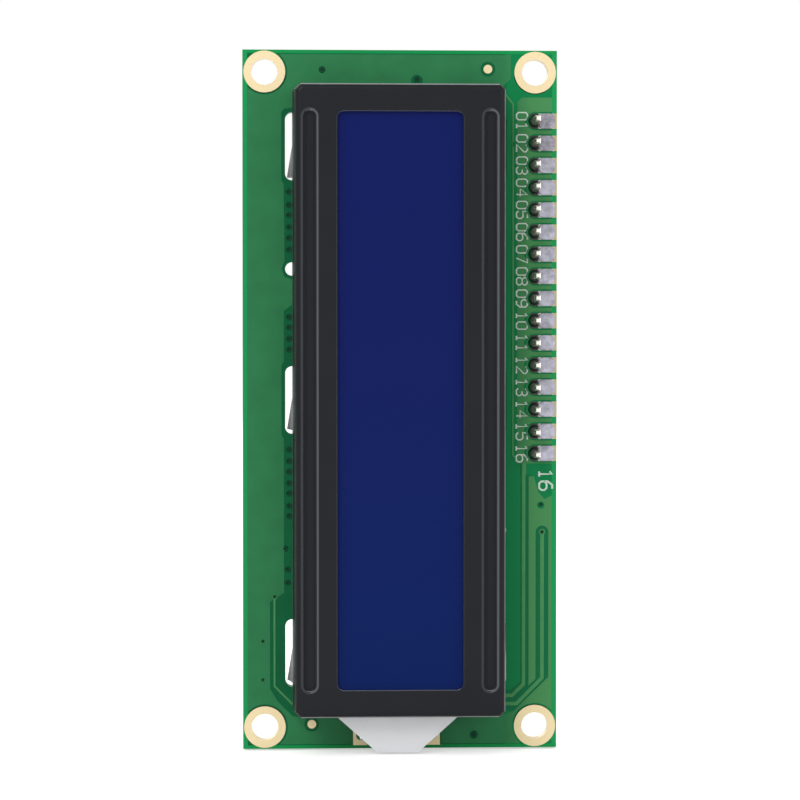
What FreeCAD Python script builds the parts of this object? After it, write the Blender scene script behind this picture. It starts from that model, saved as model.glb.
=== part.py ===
import FreeCAD, Part
import math
import os

# A 16 x 2 character display module with a serial adapter soldered to its back.
# Millimetres. The display faces -Y and its 80 mm length stands along Z.
# Origin: centre of the four mounting holes, on the main board's front face.

V = FreeCAD.Vector

# Main board
board_w = 36.0          # along X
board_h = 80.0          # along Z
board_t = 1.6
mount_in = 2.5          # corner holes to the board's sides and ends
mount_dx = board_w - 2 * mount_in
mount_dz = board_h - 2 * mount_in
mount_d = 3.1

# Row of sixteen pins that joins the two boards
pitch = 2.54
pin_count = 16
row_from_side = 2.55    # row to the main board's right side
row_from_top = 8.05     # first pin to the main board's top end
pin_side = 0.64
pin_tip = 0.3           # length of the tapered tip
pin_hole_d = 1.0
pin_long = 6.0          # beyond the plastic strip, through the main board
pin_short = 3.0         # beyond the plastic strip, through the adapter
strip_h = 2.54
strip_w = 2.5
strip_notch = 0.35
header_x = board_w / 2 - row_from_side
header_z = board_h / 2 - row_from_top

# Pads and joints of the row
pad_w = 1.75
pad_in = 0.98           # from the pin to the pad's rounded end
pad_coat = 0.1
joint_r = 0.82
joint_tip_r = 0.5
joint_h = 1.0

# Adapter board
adapter_w = 18.7
adapter_t = 1.6
adapter_side = 1.37     # row to the adapter's right side
adapter_end = 1.6       # first pin to the adapter's top end
adapter_tail = 1.45     # last pin to the adapter's lower end
row_length = (pin_count - 1) * pitch
adapter_h = adapter_end + row_length + adapter_tail
y_back = board_t
y_under = board_t + strip_h
y_top = y_under + adapter_t

# Bezel: drawn steel sheet, a little wider at its foot
bezel_x = -0.24
bezel_side = 5.9        # its foot to the board's long sides, the mean of both
bezel_end = 4.125       # its foot to the board's ends
bezel_w = board_w - 2 * bezel_side
bezel_h = board_h - 2 * bezel_end
bezel_depth = 7.0
sheet = 0.4
draft = 0.275
corner_cut = 0.65
bend_r = 0.7
frame_side = 5.0        # bezel's foot to the window
frame_end = 3.375
window_w = bezel_w - 2 * frame_side
window_h = bezel_h - 2 * frame_end
window_r = 0.8
rib_in = 1.95           # bezel's foot to the middle of a rib
rib_end_in = 3.275      # bezel's foot to a rib's end
rib_dx = bezel_w / 2 - rib_in
rib_w = 1.5
rib_h = bezel_h - 2 * rib_end_in
rib_depth = 0.3
end_gap_w = 9.06        # open middle of the upper end wall
end_gap_in = 0.62

# Tabs through the board
tab_end_in = 6.875      # bezel's end to the middle of the outer tabs
tab_dz = bezel_h / 2 - tab_end_in
tab_w = 6.9
tab_rise = 1.3          # above the board's back face
tab_lift = 0.1          # free arm above the board
tab_arm_turn = 54.0     # the free arm's angle to the wall
tab_bend_r = 0.9
tab_swing_slot = 0.25   # how far the held half leans inside the slot
tab_swing_out = 0.6     # and at its top
tab_lap = 0.2           # the two halves run into each other
slot_w = 1.55
slot_l = 7.75
slot_shift = -0.23      # slots against the bezel's walls
peg_hole_d = 1.54       # two spare locating holes beside the bezel
peg_in = 14.0           # from the outer tab
peg_hole_dz = tab_dz - peg_in

# Display cell, from the front
polarizer_t = 0.2
glass_t = 1.1
glass_gap = 0.12
polarizer_margin = 1.1  # beyond the window on each side
zebra_w = 1.8
zebra_gap = 0.04
zebra_end_in = 2.375    # bezel's foot to a strip's end
zebra_h = bezel_h - 2 * zebra_end_in
cell_gap = 0.15
film_t = 0.15
film_inset = 0.3

# Backlight tail
tail_x = -0.43
tail_end_w = 4.7
tail_mouth_w = 13.72    # where it leaves the bezel
tail_play = 0.25
tail_to_edge = 0.1      # cover film to the board's end
lamp_w = 3.0
lamp_h = 2.0
lamp_len = 1.1
lamp_gap = 0.05
lead_t = 0.15
lead_w = 0.55
lead_dx = 1.9
lead_on_back = 1.15
lamp_joint_r = 0.72
lamp_joint_h = 0.42
tail_hole_d = 1.2
tail_hole_dx = 8.05
tail_hole_in = 1.5
lamp_hole_d = 0.8
lamp_hole_dx = 2.54
lamp_hole_in = 3.9

# Epoxy domes on the main board, the small one near its lower end
small_dome_x = 0.43
small_dome_up = 26.74   # from the board's lower end
small_dome_z = small_dome_up - board_h / 2
small_dome_r = 5.26
small_dome_h = 1.3
large_dome_x = -0.43
large_dome_down = 27.05  # from the board's upper end
large_dome_z = board_h / 2 - large_dome_down
large_dome_r = 6.4
large_dome_h = 1.5

# Chip parts: length, width, height, end cap
big_chip = (2.0, 1.25, 0.55, 0.45)
small_chip = (2.0, 1.25, 0.5, 0.38)
tall_chip = (2.0, 1.25, 0.85, 0.42)
cap_wrap = 0.04         # end caps stand proud of the ceramic
big_chip_from_side = 5.48
big_chip_up = 19.72     # from the board's lower end
tiny_chip = (1.6, 0.8, 0.45, 0.3)
tiny_row_in = 8.25      # left slots to the middle one of three at the board's upper end
tiny_row_down = 9.36    # from the board's upper end
tiny_row_pitch = 2.34
tiny_lone_down = 17.03  # the fourth, below the middle one
bridge_x = 5.52
bridge_up = 8.22        # from the board's lower end
bridge_r = 1.1
bridge_h = 0.4

# Places on the adapter, measured left of and down from pin 1
chip_at = (7.90, 18.93)
transistor_at = (5.95, 34.19)
lamp_at = (10.89, 35.17)
bank_at = (10.59, 27.46)
bank_pitch = 2.555
side_chip_at = (5.66, 30.64)
capacitor_at = (5.66, 28.0)
column_at = (15.32, 19.62)
column_pitch = 4.465
trimmer_at = (6.67, 7.73)
jumper_drop = 0.43      # below the last pin
jumper_at = (7.15, row_length + jumper_drop)
serial_at = (8.12, -0.42)

# Expander chip
chip_w = 10.3
chip_l = 7.5
chip_h = 2.3
chip_off = 0.1
chip_draft = 0.18
lead_pitch = 1.27
lead_per_side = 8
gull_w = 0.42
gull_t = 0.25
gull_span = 10.4
gull_foot = 0.75

# Transistor
sot_w = 1.3
sot_l = 2.9
sot_h = 1.0
sot_span = 2.5
sot_pitch = 1.92
sot_lead_w = 0.42
sot_lead_t = 0.12
sot_foot = 0.38

# Power lamp
power_l = 2.0
power_w = 1.25
power_base_t = 0.35
power_lens_l = 1.2
power_lens_t = 0.45

# Trimmer
trimmer_side = 7.0
trimmer_h = 4.85
trimmer_foot = 0.25
trimmer_edge = 0.25
rotor_r = 1.42
rotor_play = 0.05
rotor_depth = 1.5
rotor_sink = 0.1
cross_w = 0.64
cross_depth = 0.7
dial_r = 1.78
dial_depth = 0.12
dial_long = 2.75
dial_short = 2.2
dial_mark_w = 0.3
dial_marks = 11
dial_step = 27.4
trimmer_pin_d = 0.55
trimmer_pin_dx = 2.54
trimmer_pin_dz = 2.54

# Bent pin headers on the adapter
base_h = 2.54
base_w = 2.54
bend_inner = 0.25
serial_reach = 7.58     # from the upright part to the tip
jumper_reach = 5.9
under_pin = 1.0         # below the adapter

# Jumper cap
cap_w = 4.9
cap_t = 2.4
cap_l = 5.92
cap_gap = 0.03          # to the plastic base and to the pins
cap_round = 0.2
bore_w = 0.76
bore_depth = 5.2
leaf_t = 0.18
leaf_w = 0.6
cap_lip = 0.7
cap_groove_w = 0.92
cap_groove_d = 0.15
cap_slot_w = 1.56
clip_bar = 0.8


def plate(points, y0, y1):
    """A flat piece: an outline of (x, z) points, extruded from y0 to y1."""
    loop = [V(x, y0, z) for x, z in points]
    face = Part.Face(Part.makePolygon(loop + loop[:1]))
    return face.extrude(V(0, y1 - y0, 0))


def rect(cx, cz, w, h):
    """Corners of a rectangle in X and Z."""
    return [(cx - w / 2, cz - h / 2), (cx + w / 2, cz - h / 2),
            (cx + w / 2, cz + h / 2), (cx - w / 2, cz + h / 2)]


def block(cx, cz, w, h, y0, y1):
    """A rectangular block centred at (cx, cz)."""
    return plate(rect(cx, cz, w, h), y0, y1)


def rod(x, z, r, y0, y1):
    """A round bar along Y."""
    return Part.makeCylinder(r, y1 - y0, V(x, y0, z), V(0, 1, 0))


def corners(shape, r):
    """Round the edges that run along Y."""
    edges = [e for e in shape.Edges if abs(abs(e.tangentAt(e.FirstParameter).y) - 1) < 1e-6]
    return shape.makeFillet(r, edges)


def rim(shape, y, r):
    """Round every edge that lies in the plane at y."""
    edges = [e for e in shape.Edges if all(abs(v.Y - y) < 1e-6 for v in e.Vertexes)]
    return shape.makeFillet(r, edges)


def obround(cx, cz, w, l, y0, y1):
    """A slot shape, its length along Z, with round ends."""
    r = w / 2
    half = l / 2 - r
    bar = block(cx, cz, w, 2 * half, y0, y1)
    ends = [rod(cx, cz - half, r, y0, y1), rod(cx, cz + half, r, y0, y1)]
    return bar.multiFuse(ends).removeSplitter()


def strip(path, t):
    """Outline of a bent strip of thickness t along a path of 2-D points."""
    left = []
    right = []
    for i, (a, b) in enumerate(path):
        dirs = []
        if i > 0:
            dirs.append((a - path[i - 1][0], b - path[i - 1][1]))
        if i < len(path) - 1:
            dirs.append((path[i + 1][0] - a, path[i + 1][1] - b))
        units = [(da / math.hypot(da, db), db / math.hypot(da, db)) for da, db in dirs]
        ma = -sum(u[1] for u in units)
        mb = sum(u[0] for u in units)
        size = math.hypot(ma, mb)
        ma, mb = ma / size, mb / size
        cut = -ma * units[0][1] + mb * units[0][0]
        ma, mb = ma * t / 2 / cut, mb * t / 2 / cut
        left.append((a + ma, b + mb))
        right.append((a - ma, b - mb))
    return left + right[::-1]


def bent_lead(path, t, w, x):
    """A strip bent in the YZ plane, w wide about x. The path holds (z, y)."""
    loop = [V(x - w / 2, y, z) for z, y in strip(path, t)]
    face = Part.Face(Part.makePolygon(loop + loop[:1]))
    return face.extrude(V(w, 0, 0))


def tapered(cx, cz, w, l, y0, y1, y_mid, lean):
    """A moulded package: widest at y_mid, narrower by lean at both faces."""
    wires = []
    for y, k in ((y0, lean), (y_mid, 0), (y1, lean)):
        loop = [V(x, y, z) for x, z in rect(cx, cz, w - 2 * k, l - 2 * k)]
        wires.append(Part.makePolygon(loop + loop[:1]))
    return Part.makeLoft(wires, True, True)


def dome(x, z, r, h, y0):
    """A shallow spherical cap that stands on the plane at y0."""
    big = (r * r + h * h) / (2 * h)
    ball = Part.makeSphere(big, V(x, y0 + h - big, z), V(0, 1, 0))
    return ball.common(rod(x, z, r + 1, y0, y0 + h + 1))


def square_pin(x, z, y0, y1):
    """A straight square pin along Y with both tips tapered."""
    wires = []
    thin = pin_side * 0.55
    for y, s in ((y0, thin), (y0 + pin_tip, pin_side), (y1 - pin_tip, pin_side), (y1, thin)):
        loop = [V(px, y, pz) for px, pz in rect(x, z, s, s)]
        wires.append(Part.makePolygon(loop + loop[:1]))
    return Part.makeLoft(wires, True, True)


def bent_pin(x, z, y_low, y_axis, reach, toward):
    """A square pin that rises along Y, then turns along Z to a tapered tip."""
    r = bend_inner + pin_side / 2
    s = pin_side
    turn = V(x, y_axis - r, z + toward * r)
    rise = block(x, z, s, s, y_low, y_axis - r)
    loop = [V(px, y_axis - r, pz) for px, pz in rect(x, z, s, s)]
    face = Part.Face(Part.makePolygon(loop + loop[:1]))
    elbow = face.revolve(turn, V(1, 0, 0), 90 * toward)
    wires = []
    end = z + toward * reach
    for pz, k in ((z + toward * r, s), (end - toward * pin_tip, s), (end, s * 0.55)):
        loop = [V(x - k / 2, y_axis - k / 2, pz), V(x + k / 2, y_axis - k / 2, pz),
                V(x + k / 2, y_axis + k / 2, pz), V(x - k / 2, y_axis + k / 2, pz)]
        wires.append(Part.makePolygon(loop + loop[:1]))
    reach_bar = Part.makeLoft(wires, True, True)
    return rise.multiFuse([elbow, reach_bar]).removeSplitter()


def notched_strip(cx, z_first, count, width, y0, y1, along_x=False):
    """A header's plastic strip, notched on both sides between positions."""
    side = []
    for i in range(count):
        low = -pitch / 2 + i * pitch
        side.append((width / 2 - strip_notch, low))
        side.append((width / 2, low + strip_notch))
        side.append((width / 2, low + pitch - strip_notch))
    side.append((width / 2 - strip_notch, -pitch / 2 + count * pitch))
    other = [(-a, b) for a, b in reversed(side)]
    loop = side + other
    if along_x:
        return plate([(cx + b, z_first + a) for a, b in loop], y0, y1)
    return plate([(cx + a, z_first - b) for a, b in loop], y0, y1)


def on_adapter(place):
    """(x, z) of a place measured left of and down from pin 1."""
    return header_x - place[0], header_z - place[1]


def row_z():
    """Heights of the sixteen pins, the first at the top."""
    return [header_z - i * pitch for i in range(pin_count)]


def wall_mid():
    """Bezel centre to the middle of a long wall, at its foot."""
    return bezel_w / 2 - sheet / 2


def slot_places():
    """(x, z) of the six tab slots."""
    return [(bezel_x + slot_shift + side * wall_mid(), i * tab_dz)
            for side in (-1, 1) for i in (-1, 0, 1)]


def serial_x():
    """X of the four pins of the serial header."""
    x, z = on_adapter(serial_at)
    return [x + (i - 1.5) * pitch for i in range(4)]


def jumper_x():
    """X of the two pins of the jumper header."""
    x, z = on_adapter(jumper_at)
    return [x - pitch / 2, x + pitch / 2]


def trimmer_pin_places():
    """(x, z) of the trimmer's three pins: two at one side, the wiper at the other."""
    x, z = on_adapter(trimmer_at)
    return [(x - trimmer_pin_dx, z + trimmer_pin_dz), (x + trimmer_pin_dx, z + trimmer_pin_dz),
            (x, z - trimmer_pin_dz)]


def main_board():
    """The green board with every hole and slot."""
    board = block(0, 0, board_w, board_h, 0, board_t)
    cuts = []
    for sx in (-1, 1):
        for sz in (-1, 1):
            cuts.append(rod(sx * mount_dx / 2, sz * mount_dz / 2, mount_d / 2, 0, board_t))
    for z in row_z():
        cuts.append(rod(header_x, z, pin_hole_d / 2, 0, board_t))
    for x, z in slot_places():
        cuts.append(obround(x, z, slot_w, slot_l, 0, board_t))
    for side in (-1, 1):
        x = bezel_x + slot_shift + side * wall_mid()
        cuts.append(rod(x, -side * peg_hole_dz, peg_hole_d / 2, 0, board_t))
        x = tail_x + side * tail_hole_dx / 2
        cuts.append(rod(x, tail_hole_in - board_h / 2, tail_hole_d / 2, 0, board_t))
        x = tail_x + side * lamp_hole_dx / 2
        cuts.append(rod(x, lamp_hole_in - board_h / 2, lamp_hole_d / 2, 0, board_t))
    return board.cut(cuts)


def cut_corners(w, h):
    """Eight-sided outline about the bezel's centre, w and h being half sizes."""
    c = corner_cut
    pts = [(-w + c, -h), (w - c, -h), (w, -h + c), (w, h - c),
           (w - c, h), (-w + c, h), (-w, h - c), (-w, -h + c)]
    return [(bezel_x + x, z) for x, z in pts]


def bezel_outline(inset, y):
    """The bezel's outline at depth y, set in by inset."""
    k = inset - draft * y / bezel_depth
    loop = [V(x, y, z) for x, z in cut_corners(bezel_w / 2 - k, bezel_h / 2 - k)]
    return Part.makePolygon(loop + loop[:1])


def tab_section(y, out):
    """Section of the tab's held half at height y, its end leaning outwards."""
    loop = [V(a, y, b) for a, b in strip([(-out, -tab_w / 2), (0, tab_lap)], sheet)]
    return Part.makePolygon(loop + loop[:1])


def tab_arm():
    """The free half: cut loose underneath, bent round and laid over the board."""
    low = board_t + tab_lift
    high = tab_rise - tab_lift
    spot = V(tab_bend_r, low, 0)
    start = math.radians(tab_arm_turn)
    bend = Part.makeCylinder(tab_bend_r + sheet / 2, high, spot, V(0, 1, 0))
    bend = bend.cut(Part.makeCylinder(tab_bend_r - sheet / 2, high, spot, V(0, 1, 0)))
    far = 2 * (tab_bend_r + sheet)
    wedge = plate([(tab_bend_r, 0), (tab_bend_r - far, 0), (tab_bend_r - far, far),
                   (tab_bend_r - far * math.cos(start), far * math.sin(start))], low, low + high)
    reach = tab_w / 2 - tab_bend_r * start
    a = tab_bend_r * (1 - math.cos(start))
    b = tab_bend_r * math.sin(start)
    tip = (a + reach * math.sin(start), b + reach * math.cos(start))
    return bend.common(wedge).fuse(plate(strip([(a, b), tip], sheet), low, low + high))


def twisted_tab():
    """One tab: straight in its slot, one half leaning outwards, the other turned inwards."""
    wires = [tab_section(0, 0), tab_section(board_t + tab_lift, tab_swing_slot),
             tab_section(board_t + tab_rise, tab_swing_out)]
    return Part.makeLoft(wires, True, True).fuse(tab_arm()).removeSplitter()


def bezel():
    """The drawn steel frame with window, ribs, end openings and twisted tabs."""
    y_front = -bezel_depth
    y_in = y_front + sheet
    shell = Part.makeLoft([bezel_outline(0, 0), bezel_outline(0, y_front)], True, True)
    shell = rim(shell, y_front, bend_r)
    hollow = Part.makeLoft([bezel_outline(sheet, 0), bezel_outline(sheet, y_in)], True, True)
    hollow = rim(hollow, y_in, max(bend_r - sheet, 0.05))
    shell = shell.cut(hollow)
    window = corners(block(bezel_x, 0, window_w, window_h, y_front, y_in), window_r)
    shell = shell.cut(window)
    for side in (-1, 1):
        x = bezel_x + side * rib_dx
        boss = obround(x, 0, rib_w + sheet, rib_h + sheet, y_in - sheet / 2, y_in + rib_depth)
        groove = obround(x, 0, rib_w, rib_h, y_front, y_front + rib_depth)
        shell = shell.fuse(rim(boss, y_in + rib_depth, rib_depth * 0.6))
        shell = shell.cut(rim(groove, y_front + rib_depth, rib_depth * 0.6))
    reach = bezel_h / 2 - draft - end_gap_in
    shell = shell.cut(block(bezel_x, reach + end_gap_in, end_gap_w, 2 * end_gap_in, y_front + bend_r, 0))
    wide = tail_half(-bezel_h / 2 + sheet + draft) + tail_play
    y_gate = cell_levels()["film_front"] - tail_play
    shell = shell.cut(block(tail_x, -bezel_h / 2, 2 * wide, 2 * (sheet + draft), y_gate, 0))
    tab = twisted_tab()
    tabs = []
    for side in (-1, 1):
        for i in (-1, 0, 1):
            one = tab.copy()
            if side > 0:
                one.rotate(V(0, 0, 0), V(0, 1, 0), 180)
            one.translate(V(bezel_x + side * wall_mid(), 0, i * tab_dz))
            tabs.append(one)
    return shell.multiFuse(tabs).removeSplitter()


def cell_levels():
    """Y of every face in the stack, from the bezel's inner face to the board."""
    glass_front = -bezel_depth + sheet + rib_depth
    glass_mid = glass_front + glass_t
    glass_back = glass_mid + glass_t
    polarizer_back = glass_back + polarizer_t
    film_back = polarizer_back + film_t
    return {"glass_front": glass_front, "glass_mid": glass_mid, "glass_back": glass_back,
            "film_front": polarizer_back, "film_back": film_back, "guide_back": -film_t}


def cell_half_height():
    """Half length of the glass inside the bezel."""
    return bezel_h / 2 - sheet - draft - glass_gap


def zebra_outer():
    """Bezel centre to a zebra strip's outer face, clear of the leaning wall."""
    lean = draft * -cell_levels()["glass_mid"] / bezel_depth
    return bezel_w / 2 - sheet - lean - zebra_gap


def guide_half():
    """Half width of what lies between the two zebra strips."""
    return zebra_outer() - zebra_w - cell_gap


def guide_foot():
    """Z where the guide's even part ends and its tail starts."""
    return -cell_half_height() + film_inset


def front_polarizer():
    """The film behind the window, larger than it all round."""
    y = cell_levels()["glass_front"]
    w = window_w + 2 * polarizer_margin
    h = window_h + 2 * polarizer_margin
    return block(bezel_x, 0, w, h, y - polarizer_t, y)


def front_glass():
    """The wider glass, its corners cut like the bezel's, whose ledges rest on the strips."""
    y = cell_levels()
    w = bezel_w / 2 - sheet - draft - glass_gap
    return plate(cut_corners(w, cell_half_height()), y["glass_front"], y["glass_mid"])


def rear_glass():
    """The narrower glass, between the zebra strips."""
    y = cell_levels()
    h = 2 * cell_half_height()
    return block(bezel_x, 0, 2 * guide_half(), h, y["glass_mid"], y["glass_back"])


def rear_polarizer():
    """The film on the rear glass."""
    y = cell_levels()
    h = 2 * (cell_half_height() - film_inset)
    return block(bezel_x, 0, 2 * guide_half(), h, y["glass_back"], y["film_front"])


def diffuser_film():
    """The milky film on the light guide."""
    y = cell_levels()
    h = 2 * (cell_half_height() - film_inset)
    return block(bezel_x, 0, 2 * guide_half(), h, y["film_front"], y["film_back"])


def tail_half(z):
    """Half width of the tail at height z."""
    end = -board_h / 2 + tail_to_edge
    slope = (tail_mouth_w - tail_end_w) / 2 / (bezel_end - tail_to_edge)
    return tail_end_w / 2 + slope * (z - end)


def tail_points(z_low, z_high):
    """Outline of the tail between two heights."""
    low = tail_half(z_low)
    high = tail_half(z_high)
    return [(tail_x - low, z_low), (tail_x + low, z_low),
            (tail_x + high, z_high), (tail_x - high, z_high)]


def lamp_top():
    """Z of the lamp's face that fires into the guide."""
    return -board_h / 2 + tail_to_edge + lamp_len


def guide_points(z_low):
    """Outline of the guide: an even plate whose lower end narrows into the tail."""
    w = guide_half()
    high = cell_half_height() - film_inset
    foot = guide_foot()
    low = tail_half(z_low)
    mouth = tail_half(foot)
    return [(bezel_x - w, high), (bezel_x - w, foot), (tail_x - mouth, foot),
            (tail_x - low, z_low), (tail_x + low, z_low), (tail_x + mouth, foot),
            (bezel_x + w, foot), (bezel_x + w, high)]


def light_guide():
    """The clear plate that spreads the lamp's light, with its tapered tail."""
    y = cell_levels()
    return plate(guide_points(lamp_top() + lamp_gap), y["film_back"], y["guide_back"])


def reflector_film():
    """The white film between the guide and the board."""
    return plate(guide_points(lamp_top() + lamp_gap), -film_t, 0)


def tail_film():
    """The pale film over the tail's front, the tongue seen below the bezel."""
    y = cell_levels()
    low = -board_h / 2 + tail_to_edge
    return plate(tail_points(low, guide_foot() - cell_gap), y["film_front"], y["film_back"])


def zebra_strip(side):
    """One rubber connector between the glass ledge and the board."""
    x = bezel_x + side * (zebra_outer() - zebra_w / 2)
    return block(x, 0, zebra_w, zebra_h, cell_levels()["glass_mid"], 0)


def backlight_lamp():
    """The side-firing lamp at the tail's end, hollowed to its lens."""
    z = lamp_top() - lamp_len / 2
    body = block(tail_x, z, lamp_w, lamp_len, -lead_t - lamp_h, -lead_t)
    y_mid = -lead_t - lamp_h / 2
    cup = Part.makeCone(lamp_h * 0.28, lamp_h * 0.4, lamp_len * 0.3,
                        V(tail_x, y_mid, lamp_top() - lamp_len * 0.3), V(0, 0, 1))
    return body.cut(cup)


def lead_x(side):
    """X of one lamp lead."""
    return tail_x + side * lead_dx / 2


def lamp_leads():
    """Two strips that leave the lamp, turn round the board's end and lie on its back."""
    half = lead_t / 2
    edge = -board_h / 2 - half
    path = [(lamp_top() - 0.1, -half), (edge, -half), (edge, board_t + half),
            (-board_h / 2 + lead_on_back, board_t + half)]
    return Part.makeCompound([bent_lead(path, lead_t, lead_w, lead_x(s)) for s in (-1, 1)])


def lamp_solder():
    """Two joints that hold the lamp's leads on the back pads."""
    joints = []
    for side in (-1, 1):
        z = -board_h / 2 + lead_on_back
        blob = dome(lead_x(side), z, lamp_joint_r, lamp_joint_h, board_t)
        under = z - lead_on_back
        stub = block(lead_x(side), under, lead_w, 2 * lead_on_back, board_t, board_t + lead_t)
        joints.append(blob.cut(stub))
    return Part.makeCompound(joints)


def small_dome():
    """The epoxy dome that stays in view."""
    return dome(small_dome_x, small_dome_z, small_dome_r, small_dome_h, board_t)


def large_dome():
    """The epoxy dome under the adapter."""
    return dome(large_dome_x, large_dome_z, large_dome_r, large_dome_h, board_t)


def chip_body(x, z, size, y0, upright):
    """The ceramic between a chip part's end caps, with the foot that the caps wrap."""
    length, width, height, cap = size
    long_side = length - 2 * cap
    w, l = (width, long_side) if upright else (long_side, width)
    return block(x, z, w, l, y0 + cap_wrap, y0 + height)


def chip_caps(x, z, size, y0, upright):
    """The two metal end caps of a chip part."""
    length, width, height, cap = size
    caps = []
    for side in (-1, 1):
        off = side * (length - cap) / 2
        w, l = (width + 2 * cap_wrap, cap) if upright else (cap, width + 2 * cap_wrap)
        cx, cz = (x, z + off) if upright else (x + off, z)
        one = block(cx, cz, w, l, y0, y0 + height + cap_wrap)
        outer = [e for e in one.Edges if all(v.Y > y0 + height for v in e.Vertexes)]
        caps.append(one.makeFillet(cap_wrap * 2, outer))
    return caps


def board_chip_place():
    """(x, z) of the main board's chip resistor."""
    return board_w / 2 - big_chip_from_side, big_chip_up - board_h / 2


def tiny_chip_places():
    """(x, z) of the main board's four small chip resistors, clear of the left tabs."""
    x = slot_places()[0][0] + tiny_row_in
    z = board_h / 2 - tiny_row_down
    row = [(x + i * tiny_row_pitch, z) for i in (-1, 0, 1)]
    return row + [(x, board_h / 2 - tiny_lone_down)]


def adapter_chip_places():
    """(x, z, upright) of the seven chip resistors on the adapter."""
    x, z = on_adapter(bank_at)
    places = [(x, z - i * bank_pitch, False) for i in range(3)]
    x, z = on_adapter(side_chip_at)
    places.append((x, z, False))
    x, z = on_adapter(column_at)
    return places + [(x, z - i * column_pitch, True) for i in range(3)]


def solder_bridge():
    """The closed solder bridge: a low dome over two half pads."""
    return dome(bridge_x, bridge_up - board_h / 2, bridge_r, bridge_h, board_t)


def header_strip():
    """The sixteen-way plastic strip between the boards."""
    strip_body = notched_strip(header_x, header_z, pin_count, strip_w, y_back, y_under)
    hole = pin_side / 2
    cuts = [block(header_x, z, 2 * hole, 2 * hole, y_back, y_under) for z in row_z()]
    return strip_body.cut(cuts)


def header_pins():
    """Sixteen straight square pins through both boards."""
    y0 = board_t - pin_long
    y1 = y_under + pin_short
    return Part.makeCompound([square_pin(header_x, z, y0, y1) for z in row_z()])


def pad_solder():
    """The tinned front pads, which run from the pins to the board's side."""
    pads = []
    reach = board_w / 2 - header_x
    for z in row_z():
        r = pad_w / 2
        mid = header_x - pad_in + r
        pad = block((mid + header_x + reach) / 2, z, header_x + reach - mid, pad_w, -pad_coat, 0)
        pad = pad.fuse(rod(mid, z, r, -pad_coat, 0))
        neck = Part.makeCone(joint_tip_r * 1.5, joint_tip_r, pad_coat * 4,
                             V(header_x, -pad_coat, z), V(0, -1, 0))
        pin = block(header_x, z, pin_side, pin_side, -1, 0)
        pads.append(pad.fuse(neck).removeSplitter().cut(pin))
    return Part.makeCompound(pads)


def joint(x, z, y0, up, keep):
    """A hollow-sided solder joint round a pin; keep is the pin's solid."""
    way = V(0, up, 0)
    low = Part.makeCone(joint_r, joint_tip_r * 1.15, joint_h * 0.45, V(x, y0, z), way)
    high = Part.makeCone(joint_tip_r * 1.15, joint_tip_r, joint_h * 0.55,
                         V(x, y0 + up * joint_h * 0.45, z), way)
    return low.fuse(high).cut(keep)


def adapter_solder():
    """The sixteen joints on the adapter's outer face."""
    joints = []
    for z in row_z():
        pin = block(header_x, z, pin_side, pin_side, y_top, y_top + joint_h)
        joints.append(joint(header_x, z, y_top, 1, pin))
    return Part.makeCompound(joints)


def adapter_board():
    """The black board with the holes of every pin that goes through it."""
    cx = header_x + adapter_side - adapter_w / 2
    cz = header_z + adapter_end - adapter_h / 2
    board = block(cx, cz, adapter_w, adapter_h, y_under, y_top)
    r = pin_hole_d / 2
    cuts = [rod(header_x, z, r, y_under, y_top) for z in row_z()]
    cuts += [rod(x, on_adapter(serial_at)[1], r, y_under, y_top) for x in serial_x()]
    cuts += [rod(x, on_adapter(jumper_at)[1], r, y_under, y_top) for x in jumper_x()]
    cuts += [rod(x, z, r * 0.8, y_under, y_top) for x, z in trimmer_pin_places()]
    return board.cut(cuts)


def expander_chip():
    """The wide moulded package, with its pin-one dimple."""
    x, z = on_adapter(chip_at)
    top = y_top + chip_h
    body = tapered(x, z, chip_w, chip_l, y_top + chip_off, top, y_top + chip_h / 2, chip_draft)
    dimple = rod(x + chip_w / 2 - 1.1, z - chip_l / 2 + 1.1, 0.4, top - 0.08, top)
    return body.cut(dimple)


def expander_leads():
    """Sixteen gull-wing leads in two rows."""
    x, z = on_adapter(chip_at)
    y_mid = y_top + chip_h / 2
    half = gull_t / 2
    leads = []
    for side in (-1, 1):
        root = z + side * (chip_l / 2 - 0.12)
        knee = z + side * (gull_span / 2 - gull_foot - 0.12)
        ankle = z + side * (gull_span / 2 - gull_foot)
        toe = z + side * gull_span / 2
        path = [(root, y_mid), (knee, y_mid), (ankle, y_top + half), (toe, y_top + half)]
        for i in range(lead_per_side):
            lx = x + (i - (lead_per_side - 1) / 2) * lead_pitch
            leads.append(bent_lead(path, gull_t, gull_w, lx))
    body = expander_chip()
    return Part.makeCompound([one.cut(body) for one in leads])


def transistor():
    """The small three-lead package."""
    x, z = on_adapter(transistor_at)
    return tapered(x, z, sot_w, sot_l, y_top + 0.05, y_top + sot_h, y_top + sot_h / 2, 0.08)


def transistor_leads():
    """Two leads on the left, one on the right."""
    x, z = on_adapter(transistor_at)
    y_mid = y_top + sot_h / 2
    half = sot_lead_t / 2
    leads = []
    for side, off in ((-1, -1), (-1, 1), (1, 0)):
        path = [(side * (sot_w / 2 - 0.1), y_mid), (side * (sot_span / 2 - sot_foot - 0.05), y_mid),
                (side * (sot_span / 2 - sot_foot), y_top + half), (side * sot_span / 2, y_top + half)]
        loop = [V(x + a, b, z + off * sot_pitch / 2 - sot_lead_w / 2) for a, b in strip(path, sot_lead_t)]
        face = Part.Face(Part.makePolygon(loop + loop[:1]))
        leads.append(face.extrude(V(0, 0, sot_lead_w)).cut(transistor()))
    return Part.makeCompound(leads)


def power_lamp_base():
    """The lamp's base with its two metal ends notched as half holes."""
    x, z = on_adapter(lamp_at)
    base = block(x, z, power_l, power_w, y_top, y_top + power_base_t)
    for side in (-1, 1):
        base = base.cut(rod(x + side * power_l / 2, z, 0.2, y_top, y_top + power_base_t))
    return base


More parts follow.
